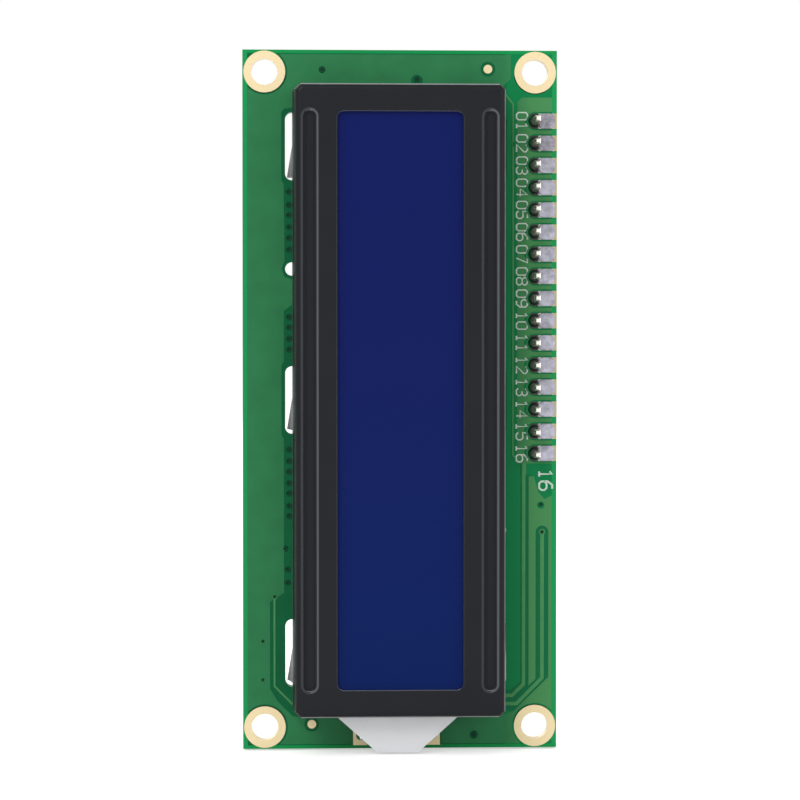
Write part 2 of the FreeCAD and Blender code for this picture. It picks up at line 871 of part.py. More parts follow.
def power_lamp_lens():
    """The clear block over the lamp's die."""
    x, z = on_adapter(lamp_at)
    y0 = y_top + power_base_t
    return tapered(x, z, power_lens_l, power_w, y0, y0 + power_lens_t, y0 + 0.05, 0.1)


def trimmer_body():
    """The blue housing: feet, rotor well, dial ring and marks, locating pit."""
    x, z = on_adapter(trimmer_at)
    top = y_top + trimmer_h
    body = block(x, z, trimmer_side, trimmer_side, y_top, top)
    body = corners(body, trimmer_edge)
    gap = block(x, z, trimmer_side, trimmer_side * 0.5, y_top, y_top + trimmer_foot)
    body = body.cut(gap)
    well = rod(x, z, rotor_r + rotor_play, top - rotor_sink - rotor_depth - rotor_play, top)
    ring = rod(x, z, dial_r, top - dial_depth, top)
    body = body.cut([well, ring])
    marks = []
    for i in range(dial_marks):
        turn = (i - dial_marks // 2) * dial_step
        far = dial_long if i in (0, dial_marks // 2) else dial_short
        bar = block(x + (dial_r + far) / 2 - 0.05, z, far - dial_r + 0.1, dial_mark_w, top - dial_depth, top)
        bar.rotate(V(x, 0, z), V(0, 1, 0), turn)
        marks.append(bar)
    marks.append(rod(x - trimmer_side * 0.26, z - trimmer_side * 0.36, 0.4, top - 0.5, top))
    return body.cut(marks)


def trimmer_rotor():
    """The metal disc that a screwdriver turns, with a cross slot."""
    x, z = on_adapter(trimmer_at)
    top = y_top + trimmer_h - rotor_sink
    disc = rod(x, z, rotor_r, top - rotor_depth, top)
    arms = [block(x, z, 2 * rotor_r, cross_w, top - cross_depth, top),
            block(x, z, cross_w, 2 * rotor_r, top - cross_depth, top)]
    return disc.cut(arms)


def trimmer_pins():
    """Three round pins through the adapter."""
    y0 = y_under - under_pin
    r = trimmer_pin_d / 2
    pins = []
    for x, z in trimmer_pin_places():
        pins.append(rod(x, z, r, y0, y_top))
    return Part.makeCompound(pins)


def pin_axis_y():
    """Y of the level part of a bent pin."""
    return y_top + base_h + bend_inner + pin_side / 2


def header_base(places, z):
    """A bent header's plastic strip with the holes of its pins."""
    base = notched_strip(places[0], z, len(places), base_w, y_top, y_top + base_h, True)
    cuts = [block(x, z, pin_side, pin_side, y_top, y_top + base_h) for x in places]
    return base.cut(cuts)


def serial_base():
    """The four-way plastic strip at the adapter's upper end."""
    return header_base(serial_x(), on_adapter(serial_at)[1])


def serial_pins():
    """Four pins that rise through the strip and turn over the board's upper end."""
    z = on_adapter(serial_at)[1]
    y0 = y_under - under_pin
    return Part.makeCompound([bent_pin(x, z, y0, pin_axis_y(), serial_reach, 1) for x in serial_x()])


def jumper_base():
    """The two-way plastic strip at the adapter's lower end."""
    return header_base(jumper_x(), on_adapter(jumper_at)[1])


def jumper_pins():
    """Two pins that turn down over the main board."""
    z = on_adapter(jumper_at)[1]
    y0 = y_under - under_pin
    return Part.makeCompound([bent_pin(x, z, y0, pin_axis_y(), jumper_reach, -1) for x in jumper_x()])


def cap_top():
    """Z of the cap's open end, beside the plastic strip."""
    return on_adapter(jumper_at)[1] - base_w / 2 - cap_gap


def leaf_low():
    """Y of the contact leaf's face beside the pin."""
    return pin_axis_y() + pin_side / 2 + cap_gap


def jumper_contact():
    """The cap's metal clip: two leaves joined by a bar that shows in the slot."""
    x = on_adapter(jumper_at)[0]
    z_end = cap_top() - cap_l
    z_bar = z_end + cap_lip + cap_groove_w / 2
    y0 = leaf_low()
    bar = block(x, z_bar, pitch + leaf_w, clip_bar, y0, y0 + leaf_t)
    high = cap_top() - 0.5
    parts = []
    for px in jumper_x():
        parts.append(block(px, (z_bar + high) / 2, leaf_w, high - z_bar, y0, y0 + leaf_t))
    return bar.multiFuse(parts).removeSplitter()


def jumper_cap():
    """The plastic cap: two bores, a grip groove and a slot that shows the clip."""
    x = on_adapter(jumper_at)[0]
    y = pin_axis_y()
    z1 = cap_top()
    z0 = z1 - cap_l
    body = block(x, (z0 + z1) / 2, cap_w, cap_l, y - cap_t / 2, y + cap_t / 2)
    body = corners(body, cap_round)
    cuts = []
    for px in jumper_x():
        y0 = y - pin_side / 2 - cap_gap
        cuts.append(block(px, z1 - bore_depth / 2, bore_w, bore_depth, y0, leaf_low() + leaf_t))
    z_groove = z0 + cap_lip + cap_groove_w / 2
    for side in (-1, 1):
        face = y + side * (cap_t / 2 - cap_groove_d / 2)
        cuts.append(block(x, z_groove, cap_w, cap_groove_w, face - cap_groove_d / 2, face + cap_groove_d / 2))
    cuts.append(block(x, z_groove, cap_slot_w, cap_groove_w, y - cap_t / 2, y + cap_t / 2))
    cuts.append(rod(x, z_groove + cap_groove_w / 2, cap_slot_w / 2, y - cap_t / 2, y + cap_t / 2))
    cuts.append(jumper_contact())
    return body.cut(cuts)


def underside_solder():
    """The joints of the adapter's other pins, on the side that faces the main board."""
    joints = []
    y0 = y_under
    for x, z in [(px, on_adapter(serial_at)[1]) for px in serial_x()] + \
                [(px, on_adapter(jumper_at)[1]) for px in jumper_x()]:
        keep = block(x, z, pin_side, pin_side, y0 - 2, y0)
        joints.append(joint(x, z, y0, -1, keep))
    for x, z in trimmer_pin_places():
        joints.append(joint(x, z, y0, -1, rod(x, z, trimmer_pin_d / 2, y0 - 2, y0)))
    return Part.makeCompound(joints)


def chip_nodes():
    """Every chip part's ceramic and caps, by node name."""
    x, z = board_chip_place()
    nodes = {"board_resistor": chip_body(x, z, big_chip, board_t, True),
             "board_resistor_caps": Part.makeCompound(chip_caps(x, z, big_chip, board_t, True))}
    bodies = []
    caps = []
    for x, z in tiny_chip_places():
        bodies.append(chip_body(x, z, tiny_chip, board_t, True))
        caps += chip_caps(x, z, tiny_chip, board_t, True)
    nodes["small_resistors"] = Part.makeCompound(bodies)
    nodes["small_resistor_caps"] = Part.makeCompound(caps)
    bodies = []
    caps = []
    for x, z, upright in adapter_chip_places():
        bodies.append(chip_body(x, z, small_chip, y_top, upright))
        caps += chip_caps(x, z, small_chip, y_top, upright)
    nodes["adapter_resistors"] = Part.makeCompound(bodies)
    nodes["adapter_resistor_caps"] = Part.makeCompound(caps)
    x, z = on_adapter(capacitor_at)
    nodes["capacitor"] = chip_body(x, z, tall_chip, y_top, False)
    nodes["capacitor_caps"] = Part.makeCompound(chip_caps(x, z, tall_chip, y_top, False))
    return nodes


nodes = {
    "main_board": main_board(),
    "bezel": bezel(),
    "front_polarizer": front_polarizer(),
    "front_glass": front_glass(),
    "rear_glass": rear_glass(),
    "rear_polarizer": rear_polarizer(),
    "diffuser_film": diffuser_film(),
    "light_guide": light_guide(),
    "reflector_film": reflector_film(),
    "tail_film": tail_film(),
    "zebra_strip_left": zebra_strip(-1),
    "zebra_strip_right": zebra_strip(1),
    "backlight_lamp": backlight_lamp(),
    "lamp_leads": lamp_leads(),
    "lamp_solder": lamp_solder(),
    "small_dome": small_dome(),
    "large_dome": large_dome(),
    "solder_bridge": solder_bridge(),
    "header_strip": header_strip(),
    "header_pins": header_pins(),
    "pad_solder": pad_solder(),
    "adapter_board": adapter_board(),
    "adapter_solder": adapter_solder(),
    "underside_solder": underside_solder(),
    "expander_chip": expander_chip(),
    "expander_leads": expander_leads(),
    "transistor": transistor(),
    "transistor_leads": transistor_leads(),
    "power_lamp_base": power_lamp_base(),
    "power_lamp_lens": power_lamp_lens(),
    "trimmer_body": trimmer_body(),
    "trimmer_rotor": trimmer_rotor(),
    "trimmer_pins": trimmer_pins(),
    "serial_base": serial_base(),
    "serial_pins": serial_pins(),
    "jumper_base": jumper_base(),
    "jumper_pins": jumper_pins(),
    "jumper_cap": jumper_cap(),
    "jumper_contact": jumper_contact(),
}
nodes.update(chip_nodes())

os.makedirs("parts", exist_ok=True)
for name, shape in nodes.items():
    shape.exportStep("parts/" + name + ".step")
    print(name, len(shape.Solids), shape.isValid(), round(shape.Volume, 3))
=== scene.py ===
import math
import bpy
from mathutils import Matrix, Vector


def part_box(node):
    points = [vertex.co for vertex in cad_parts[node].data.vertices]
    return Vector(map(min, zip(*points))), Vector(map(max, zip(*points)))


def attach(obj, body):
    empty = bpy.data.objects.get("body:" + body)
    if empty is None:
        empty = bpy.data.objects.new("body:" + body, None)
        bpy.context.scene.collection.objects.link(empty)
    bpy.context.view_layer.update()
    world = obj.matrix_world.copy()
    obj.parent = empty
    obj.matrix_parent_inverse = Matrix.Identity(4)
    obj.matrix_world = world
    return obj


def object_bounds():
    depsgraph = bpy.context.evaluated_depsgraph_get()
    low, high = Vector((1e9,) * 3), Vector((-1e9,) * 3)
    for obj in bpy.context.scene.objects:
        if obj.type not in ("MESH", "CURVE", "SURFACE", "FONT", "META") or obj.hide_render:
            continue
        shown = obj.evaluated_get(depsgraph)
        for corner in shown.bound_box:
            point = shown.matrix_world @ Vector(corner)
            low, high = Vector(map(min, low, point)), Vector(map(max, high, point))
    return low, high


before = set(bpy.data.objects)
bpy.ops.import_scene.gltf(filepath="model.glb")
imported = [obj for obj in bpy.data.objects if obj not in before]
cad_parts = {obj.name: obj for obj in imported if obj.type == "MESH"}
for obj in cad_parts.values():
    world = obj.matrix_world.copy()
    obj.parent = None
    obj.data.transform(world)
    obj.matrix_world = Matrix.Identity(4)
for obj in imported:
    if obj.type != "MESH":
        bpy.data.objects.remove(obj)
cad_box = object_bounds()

MM = 0.001


# The studio: a white table and soft light from all round, a little stronger from the upper
# left. The camera stands 318 mm away, a little left of and above the display's middle, as the
# photograph's perspective gives. The table is white to the camera and keeps a shadow.
bpy.context.scene.view_settings.view_transform = "Standard"
bpy.ops.object.select_all(action="DESELECT")
bpy.ops.object.camera_add(location=(-0.014, -0.318, 0.007))
camera = bpy.context.object
camera.rotation_euler = (-camera.location).to_track_quat("-Z", "Y").to_euler()
camera.data.sensor_width = 36
camera.data.lens = 125
camera.data.clip_start = 0.01
bpy.context.scene.camera = camera

for name, place, size, watts in (
    ("key_lamp", (-0.5, -0.8, 0.75), 0.7, 5.0),
    ("side_lamp", (0.8, -0.6, 0.25), 0.9, 1.6),
    ("back_lamp", (-0.5, 0.85, 0.55), 0.7, 5.2),
    ("back_side_lamp", (0.8, 0.6, 0.25), 0.9, 1.6),
):
    bpy.ops.object.light_add(type="AREA", location=place)
    lamp = bpy.context.object
    lamp.name = name
    lamp.data.shape = "DISK"
    lamp.data.size = size
    lamp.data.energy = watts
    lamp.rotation_euler = (-Vector(place)).to_track_quat("-Z", "Y").to_euler()


def add_step(tree, kind, inputs=(), **settings):
    """Adds a shader node. Its inputs take plain values or the outputs of other nodes."""
    step = tree.nodes.new("ShaderNode" + kind)
    for name, value in settings.items():
        setattr(step, name, value)
    for place, value in dict(inputs).items():
        if isinstance(value, bpy.types.NodeSocket):
            tree.links.new(value, step.inputs[place])
        else:
            step.inputs[place].default_value = value
    return step


def seen_or_mirrored(tree):
    """1 for rays that come from the camera, a mirror-like surface or clear glass."""
    path = add_step(tree, "LightPath")
    seen = 0.0
    for kind in ("Is Camera Ray", "Is Glossy Ray", "Is Transmission Ray"):
        seen = add_step(tree, "Math", {0: seen, 1: path.outputs[kind]}, operation="MAXIMUM").outputs[0]
    return seen


world = bpy.data.worlds.new("studio_air")
bpy.context.scene.world = world
world.use_nodes = True
air = world.node_tree.nodes["Background"]
air.inputs["Color"].default_value = (1, 1, 1, 1)
level = add_step(world.node_tree, "MapRange",
                 {"Value": seen_or_mirrored(world.node_tree), "To Min": 0.62, "To Max": 1.0})
world.node_tree.links.new(level.outputs["Result"], air.inputs["Strength"])

bpy.ops.mesh.primitive_circle_add(vertices=96, radius=12, fill_type="TRIFAN",
                                  location=(0, 0, cad_box[0].z - 0.00003))
table = bpy.context.object
table.name = "table_top"
cloth = bpy.data.materials.new("table_white")
cloth.use_nodes = True
white = cloth.node_tree.nodes["Principled BSDF"].inputs
white["Base Color"].default_value = (0.86, 0.86, 0.86, 1)
white["Roughness"].default_value = 0.9
white["Specular IOR Level"].default_value = 0.0
white["Emission Color"].default_value = (1, 1, 1, 1)
glow = add_step(cloth.node_tree, "Math", {0: seen_or_mirrored(cloth.node_tree), 1: 0.5}, operation="MULTIPLY")
cloth.node_tree.links.new(glow.outputs[0], white["Emission Strength"])
table.data.materials.append(cloth)


# The main board: 1.6 mm glass-fibre laminate under green mask, routed and drilled. The mask
# is a little uneven, the weave of the glass shows through it, and the sawn edges are brighter.
def hue(code):
    """A screen colour such as 1c8250 as the linear colour that a shader takes."""
    parts = [int(code[i:i + 2], 16) / 255 for i in (0, 2, 4)]
    return tuple(c / 12.92 if c < 0.04045 else ((c + 0.055) / 1.055) ** 2.4 for c in parts) + (1.0,)


def inputs_of(tree):
    return tree.nodes["Principled BSDF"].inputs


def finish(name, code, rough, metal=0.0, shine=0.5, mottle=0.08, patch=2.0, grain=0.0, grain_size=0.15):
    """A material whose tone wanders in patches and whose surface has a fine grain, sizes in mm."""
    made = bpy.data.materials.new(name)
    made.use_nodes = True
    tree = made.node_tree
    shader = inputs_of(tree)
    shader["Metallic"].default_value = metal
    shader["Specular IOR Level"].default_value = shine
    where = add_step(tree, "TexCoord").outputs["Object"]
    cloud = add_step(tree, "TexNoise", {"Vector": where, "Scale": 1 / (patch * MM), "Detail": 3})
    tone = add_step(tree, "ValToRGB", {"Fac": cloud.outputs["Fac"]})
    for stop, place, sign in zip(tone.color_ramp.elements, (0.3, 0.7), (-1, 1)):
        stop.position = place
        stop.color = [part * (1 + sign * mottle) for part in hue(code)[:3]] + [1]
    tree.links.new(tone.outputs["Color"], shader["Base Color"])
    fine = add_step(tree, "TexNoise", {"Vector": where, "Scale": 1 / (grain_size * MM), "Detail": 2},
                    name="fine")
    wear = add_step(tree, "MapRange", {"Value": fine.outputs["Fac"], "From Min": 0.3, "From Max": 0.7,
                                       "To Min": rough * 0.85, "To Max": min(rough * 1.15, 1)})
    tree.links.new(wear.outputs["Result"], shader["Roughness"])
    lift = add_step(tree, "Bump", {"Height": fine.outputs["Fac"], "Distance": grain * MM})
    tree.links.new(lift.outputs["Normal"], shader["Normal"])
    return made


def fine_grain(made):
    """The grain of a finish as a mask."""
    return made.node_tree.nodes["fine"].outputs["Fac"]


def tint_where(mask, code, share=1.0):
    """Lays a second colour over a finish wherever mask, an output among its nodes, is 1."""
    tree = mask.id_data
    base = inputs_of(tree)["Base Color"]
    amount = add_step(tree, "Math", {0: mask, 1: share}, operation="MULTIPLY").outputs[0]
    mix = add_step(tree, "Mix", {0: amount, 6: base.links[0].from_socket, 7: hue(code)}, data_type="RGBA")
    tree.links.new(mix.outputs[2], base)


def ramp_of(value, low, high):
    """0 to 1 while a value goes from low to high."""
    band = add_step(value.id_data, "MapRange", {"Value": value, "From Min": low, "From Max": high})
    return band.outputs["Result"]


def along(made, axis, low, high, either=False):
    """A mask that goes from 0 to 1 between two places along an axis, in mm, on both sides of
    the middle where either is set."""
    tree = made.node_tree
    start = add_step(tree, "TexCoord").outputs["Object"]
    found = add_step(tree, "SeparateXYZ", {0: start}).outputs["XYZ".index(axis)]
    if either:
        found = add_step(tree, "Math", {0: found}, operation="ABSOLUTE").outputs[0]
    return ramp_of(found, low * MM, high * MM)


def facing(made, axis, low, high):
    """A mask that goes from 0 to 1 as a surface turns to an axis, forwards or backwards."""
    tree = made.node_tree
    start = add_step(tree, "NewGeometry").outputs["Normal"]
    found = add_step(tree, "SeparateXYZ", {0: start}).outputs["XYZ".index(axis)]
    return ramp_of(add_step(tree, "Math", {0: found}, operation="ABSOLUTE").outputs[0], low, high)


def both(one, other):
    """Where two masks overlap."""
    return add_step(one.id_data, "Math", {0: one, 1: other}, operation="MULTIPLY").outputs[0]


def dress(made, *names):
    """Gives a CAD node its finish."""
    for name in names:
        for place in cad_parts[name].material_slots:
            place.material = made


def painted_table_light(made):
    """Painted light: the table's pale light on the mask, growing towards the left of the back."""
    tint_where(both(along(made, "X", 9, -17), along(made, "Y", 0.7, 0.9)), "80c7bc", 0.075)


board_mask = finish("board_mask", "03643a", 0.34, shine=0.12, mottle=0.09, patch=4.0, grain=0.004,
                    grain_size=0.35)
painted_table_light(board_mask)
# Painted light: the front's mask right of the bezel is painted lighter, against the bezel's shadow.
painted_light_right = both(along(board_mask, "X", 11.8, 12.4), along(board_mask, "Y", 0.6, 0.3))
tint_where(painted_light_right, "05894d", 0.8)
sawn_side = facing(board_mask, "Y", 0.5, 0.4)
tint_where(sawn_side, "21a05c", 0.85)
tint_where(both(sawn_side, fine_grain(board_mask)), "6fc487", 0.4)
tint_where(along(board_mask, "X", 17.42, 17.5, either=True), "1c9f58", 0.9)
tint_where(along(board_mask, "Z", 39.55, 39.65, either=True), "129a50", 0.9)
dress(board_mask, "main_board")


# The copper under the mask: wide areas tied to ground and thin tracks, both etched, so they
# stand a little above the bare laminate and look greyer. Front and back are drawn apart.
def lay_track(name, paths, width, y, proud):
    """Narrow lines on a board, each path (x, z) points in mm. A path that returns is closed."""
    line = bpy.data.curves.new(name, "CURVE")
    line.dimensions = "3D"
    line.twist_mode = "MINIMUM"
    line.bevel_depth = width / 2 * MM
    line.bevel_resolution = 1
    line.use_fill_caps = True
    for path in paths:
        closed = path[0] == path[-1]
        points = path[:-1] if closed else path
        run = line.splines.new("POLY")
        run.points.add(len(points) - 1)
        for point, (x, z) in zip(run.points, points):
            point.co = (x * MM, 0, z * MM, 1)
        run.use_cyclic_u = closed
    piece = bpy.data.objects.new(name, line)
    bpy.context.collection.objects.link(piece)
    make_mesh(piece)
    piece.scale.y = 2 * proud / width
    piece.location.y = y * MM
    bpy.ops.object.transform_apply()
    return piece


def lay_sheet(name, outlines, y, thick):
    """A thin flat piece on a board, cut to closed outlines; one inside another is a hole."""
    line = bpy.data.curves.new(name, "CURVE")
    line.dimensions = "2D"
    line.fill_mode = "BOTH"
    line.extrude = thick / 2 * MM
    for points in outlines:
        edge = line.splines.new("POLY")
        edge.points.add(len(points) - 1)
        for point, (x, z) in zip(edge.points, points):
            point.co = (x * MM, z * MM, 0, 1)
        edge.use_cyclic_u = True
    piece = bpy.data.objects.new(name, line)
    bpy.context.collection.objects.link(piece)
    make_mesh(piece)
    piece.rotation_euler.x = math.pi / 2
    piece.location.y = y * MM
    bpy.ops.object.transform_apply()
    return piece


def only(*pieces):
    """Selects these pieces alone, the first one active."""
    bpy.ops.object.select_all(action="DESELECT")
    for piece in pieces:
        piece.select_set(True)
    bpy.context.view_layer.objects.active = pieces[0]


def make_mesh(piece):
    only(piece)
    bpy.ops.object.convert(target="MESH")


def weld(name, *pieces):
    """Joins pieces into one under a new name."""
    only(*pieces)
    if len(pieces) > 1:
        bpy.ops.object.join()
    pieces[0].name = name
    return pieces[0]


def settle(piece, made, body="module"):
    """A finished piece gets its material and rides on its body."""
    piece.data.materials.clear()
    piece.data.materials.append(made)
    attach(piece, body)


def box_of(x, z, w, h):
    return [(x - w / 2, z - h / 2), (x + w / 2, z - h / 2), (x + w / 2, z + h / 2), (x - w / 2, z + h / 2)]


def disc_of(x, z, r, n=32):
    return [(x + r * math.cos(math.tau * i / n), z + r * math.sin(math.tau * i / n)) for i in range(n)]


def pill_of(x, z, w, h, n=10):
    """A box with rounded corners as large as its shorter side allows."""
    r = min(w, h) / 2
    points = []
    for i, (sx, sz) in enumerate(((1, 1), (-1, 1), (-1, -1), (1, -1))):
        for k in range(n + 1):
            a = math.pi / 2 * (i + k / n)
            points.append((x + sx * (w / 2 - r) + r * math.cos(a), z + sz * (h / 2 - r) + r * math.sin(a)))
    return points


def closed(points):
    return points + points[:1]


FRONT, BACK, TOP = 0.0, 1.6, 5.74
copper_green = finish("copper_under_mask", "307f4f", 0.36, shine=0.12, patch=3.0, grain=0.004,
                      grain_size=0.35)
# Painted light: the copper is painted lighter towards the right, against the bezel's shadow.
tint_where(along(copper_green, "X", 12, 15), "4f9459", 0.85)
track_green = finish("track_under_mask", "4b9259", 0.36, shine=0.12, grain=0.003, grain_size=0.2)
# Painted shade, partly real: the mask is darker at the foot of the copper's edges.
mask_pooled_shade = finish("mask_pooled_shade", "064f33", 0.36, shine=0.12)
# Painted light: lighter on the front right, against the bezel's shadow.
painted_light_right = both(along(mask_pooled_shade, "X", 11.0, 12.0), along(mask_pooled_shade, "Y", 0.8, 0.3))
tint_where(painted_light_right, "0a6e42", 1.0)

corner_x, corner_z = 15.5, 37.5
corners = [(x, z) for x in (-corner_x, corner_x) for z in (-corner_z, corner_z)]


def ring_bite(sx, sz, r=2.62):
    """Arc round a corner hole, from a line 0.55 inside the long side to one inside the end."""
    start = math.pi + math.atan2(math.sqrt(r * r - 1.95 ** 2), 1.95)
    end = math.tau + math.atan2(2.0, math.sqrt(r * r - 4))
    turns = [start + (end - start) * i / 14 for i in range(15)]
    return [(-sx * (-corner_x + r * math.cos(a)), sz * (corner_z + r * math.sin(a))) for a in turns]


row = [31.95 - 2.54 * i for i in range(16)]
via_x = -12.62
column = [-13.27, -12.10, -10.67, -9.50, -8.19, -6.96, -5.65, 5.79, 7.03, 8.32, 9.49,
          17.21, 18.54, 19.78, 21.15, 22.3, 23.8]
left_ground = ring_bite(-1, 1)[::-1] + ring_bite(-1, -1) + [
    (-4.6, -39.5), (-4.6, -38.0), (-5.9, -36.6), (-12.3, -36.3), (-14.0, -34.6), (-14.9, -33.1),
    (-14.9, -23.1), (-13.3, -22.1), (-13.3, -4.4), (-13.56, -4.0), (-13.56, 4.0), (-13.3, 4.4), (-13.3, 10.2),
    (-12.2, 11.0), (-12.2, 13.8), (-13.2, 14.1), (-13.55, 15.0), (-13.2, 15.9), (-13.3, 24.7), (-13.56, 25.1),
    (-13.56, 32.9), (-13.2, 33.3), (-12.2, 33.4), (-12.2, 35.0), (10.9, 35.0), (12.7, 36.8), (12.7, 39.5)
]
round_via = [(16.34 + 0.74 * math.cos(math.pi * i / 8), -15.19 + 0.74 * math.sin(math.pi * i / 8))
             for i in range(9)]
right_ground = [(17.45, -11.0)] + ring_bite(1, -1) + [
    (4.75, -39.5), (4.75, -38.2), (5.9, -36.7), (11.9, -36.2), (13.0, -35.9), (17.08, -31.9)
] + round_via + [(15.6, -32.1), (14.8, -32.9), (14.8, -8.8), (15.4, -8.8), (15.9, -10.6), (16.6, -11.4)]
comb = [(17.45, -7.3), (13.45, -7.3), (13.45, 34.1), (14.0, 34.65), (17.45, 34.65)]
for z in row:
    comb += [(x, z + up) for x, up in ((17.45, 1.05), (15.3, 1.05), (14.45, 0.6), (14.2, 0), (14.45, -0.6),
                                       (15.3, -1.05), (17.45, -1.05))]
front_ground = weld("front_ground", *[lay_sheet("ground", outlines, FRONT - 0.005, 0.03) for outlines in (
    [left_ground, disc_of(10.07, 37.87, 0.85), disc_of(-10.13, -37.2, 0.85), disc_of(1.94, 36.5, 0.7, 20),
     disc_of(-8.91, 37.74, 0.4, 16)],
    [right_ground, disc_of(8.5, -38.5, 0.5, 16), disc_of(16.2, -12.1, 0.42, 16)],
    [comb],
)])
settle(front_ground, copper_green)

main_tracks = lay_track("front_tracks", [
    [(-14.37, -22.51), (-14.37, -32.8), (-12.2, -35.0)],
    [(13.75, -7.2), (12.93, -6.4), (12.93, 29.5)],
    [(11.2, 35.6), (12.1, 34.9), (12.93, 33.9), (12.93, 29.0)],
], 0.3, FRONT, 0.02)
open_vias = [(16.34, -15.19), (-14.37, -22.51)]
dark_vias = [(-8.91, 37.74), (-15.73, -27.64), (-15.73, -32.07), (1.94, 36.7), (-13.2, -17.0), (-12.9, -19.4),
             (-12.9, -20.9), (8.5, -38.5), (16.2, -12.0)]
dark_vias += [(-12.75, z) for z in column]
side_track = lay_track("side_track", [
    [(16.34, -15.2), (16.34, -32.0), (13.4, -34.95), (11.2, -34.95)],
    [(14.2, -7.2), (14.2, -32.7), (12.9, -34.0), (11.4, -34.0)],
], 0.64, FRONT, 0.02)
via_rims = lay_track("front_via_rims", [closed(disc_of(x, z, 0.27, 16)) for x, z in open_vias], 0.22, FRONT,
                     0.02)
front_tracks = weld("front_tracks", main_tracks, side_track, via_rims)
settle(front_tracks, track_green)

# The back copper: buses along the left side, fans of thin tracks to the two covered dice,
# a broad supply track round the right side, and ground areas between them.
lower_ground = ring_bite(-1, -1) + [
    (-6.1, -39.5), (-6.1, -37.1), (-3.2, -36.9), (-3.2, -34.6), (2.4, -34.6), (2.4, -37.0), (4.8, -36.5),
    (5.4, -36.0), (12.2, -36.0), (13.1, -35.1), (13.1, -24.9), (12.6, -24.9), (12.6, -33.3), (7.6, -33.3),
    (7.6, -24.9), (6.9, -24.9), (6.9, -33.4), (3.2, -34.0), (-1.4, -34.0), (-1.4, -24.9), (-8.4, -24.9),
    (-8.4, -33.4), (-13.2, -33.4), (-13.55, -33.0), (-13.55, -24.75), (-16.5, -21.8), (-16.85, -22.2),
    (-16.85, -35.2)
]
back_areas = [
    [(-13.86, -20.84), (-13.2, -20.18), (-11.08, -20.18), (-9.95, -19.21), (-9.95, -12.54), (-10.35, -12.54),
     (-12.06, -14.16), (-13.2, -14.32), (-13.86, -13.68)],
    [(-13.86, 16.2), (-13.3, 16.9), (-13.3, 22.4), (-13.5, 24.2), (-13.86, 24.2)],
    [(-12.6, 23.2), (-8.9, 23.2), (-7.9, 22.0), (-7.9, 21.0), (-3.2, 21.0), (-3.2, 21.4), (-7.6, 21.4),
     (-7.6, 25.1), (-3.0, 25.1), (-3.0, 26.4), (-3.6, 28.6), (-8.0, 28.6), (-8.2, 33.3), (-9.0, 34.1),
     (-11.7, 34.1), (-12.6, 33.3), (-8.7, 33.0), (-8.7, 25.0), (-12.4, 24.9)],
    [(-12.6, 36.57), (-7.33, 36.57), (-6.37, 35.6), (1.0, 35.6), (1.0, 36.6), (1.4, 36.9), (5.9, 36.9),
     (6.2, 36.5), (6.2, 35.6), (12.6, 35.6), (12.6, 39.5), (-12.6, 39.5)],
    [(5.3, -39.5)] + ring_bite(1, -1)[::-1] +
    [(17.45, -8.3), (14.75, -8.3), (14.75, -35.0), (12.7, -37.7), (5.3, -37.9)],
]
back_grounds = [[lower_ground, disc_of(-10.35, -36.1, 0.85)]] + [[outline] for outline in back_areas]
back_ground = weld("back_ground",
                   *[lay_sheet("ground", outlines, BACK + 0.005, 0.03) for outlines in back_grounds])
ground_green = finish("ground_under_mask", "0a713f", 0.36, shine=0.12, mottle=0.10, patch=4.0, grain=0.004,
                      grain_size=0.35)
# Painted light: the ground is lighter and greyer towards the left of the back; also lighter upwards.
tint_where(along(ground_green, "X", 12, -2), "2a7850", 1.0)
tint_where(along(ground_green, "Z", 0, 30), "3a864d", 0.85)
settle(back_ground, ground_green)

buses = [
    [(-14.2, -24.5), (-15.7, -23.0), (-15.7, 32.6), (-12.4, 35.82), (-7.75, 35.82), (-6.64, 34.79),
     (12.5, 34.79)],
    [(-14.0, -24.2), (-14.56, -23.5), (-14.56, 32.1), (-11.9, 34.98), (-8.3, 34.98), (-7.75, 34.3),
     (-7.75, 29.2)],
    [(-14.0, -24.3), (3.4, -24.3)], [(1.94, 36.2), (5.4, 36.2)],
]
thin = []
for k in range(9):
    x = -9.9 + 0.4 * k
    start = [(x, -18.6 + 0.2 * k)]
    if k < 5:
        start = [(x - 2.0 + 0.1 * k, -21.5 - 0.12 * k), (x, -19.5 - 0.22 * k)]
    thin.append(start + [(x, -8.9 - 0.05 * k), (-2.6, -11.5 - 0.05 * k - x)])
for k, x in enumerate((-10.3, -10.7, -11.1)):
    thin.append([(via_x, column[k]), (x, column[k] + x - via_x), (x, -8.9), (-2.6, -11.5 - x)])
for k in range(7):
    z = -1.6 + 0.62 * k
    thin.append([(-8.7, z), (-8.2, z), (-2.6, z + 5.6)])
for k in range(5):
    thin.append([(-5.6 + 0.4 * k, -10.2 + 0.2 * k), (-5.2 + 0.4 * k, -9.4 + 0.2 * k), (-2.6, -6.8 - 0.2 * k)])
thin += [[(via_x, z), (-2.6, z + 10.02)] for z in column[3:5]]
fans = [
    (-11.93, [(-2.6, column[5] + 9.33)]), (-11.4, [(-9.2, column[6] + 2.2), (-9.2, -2.4)]),
    (-10.1, [(-6.6, 9.3)]), (-9.7, [(-6.9, 9.8)]), (-9.3, [(-7.0, 10.6)]),
    (-11.2, [(-10.55, 8.85), (-9.0, 8.85), (-7.1, 10.9)]), (-10.9, [(-6.8, 13.1)]),
    (-10.7, [(-10.2, 18.1), (-10.2, 16.9), (-6.9, 13.6)]),
    (-10.4, [(-9.7, 19.1), (-9.7, 16.9), (-6.8, 14.0)]),
    (-10.1, [(-9.2, 20.2), (-9.2, 16.9), (-6.7, 14.4)]), (-9.7, [(-8.9, 21.5)]),
    (-9.4, [(-8.5, 22.9), (-8.5, 21.0)]),
]
for z, (x, onward) in zip(column[5:], fans):
    thin.append([(via_x, z), (x, z)] + onward)
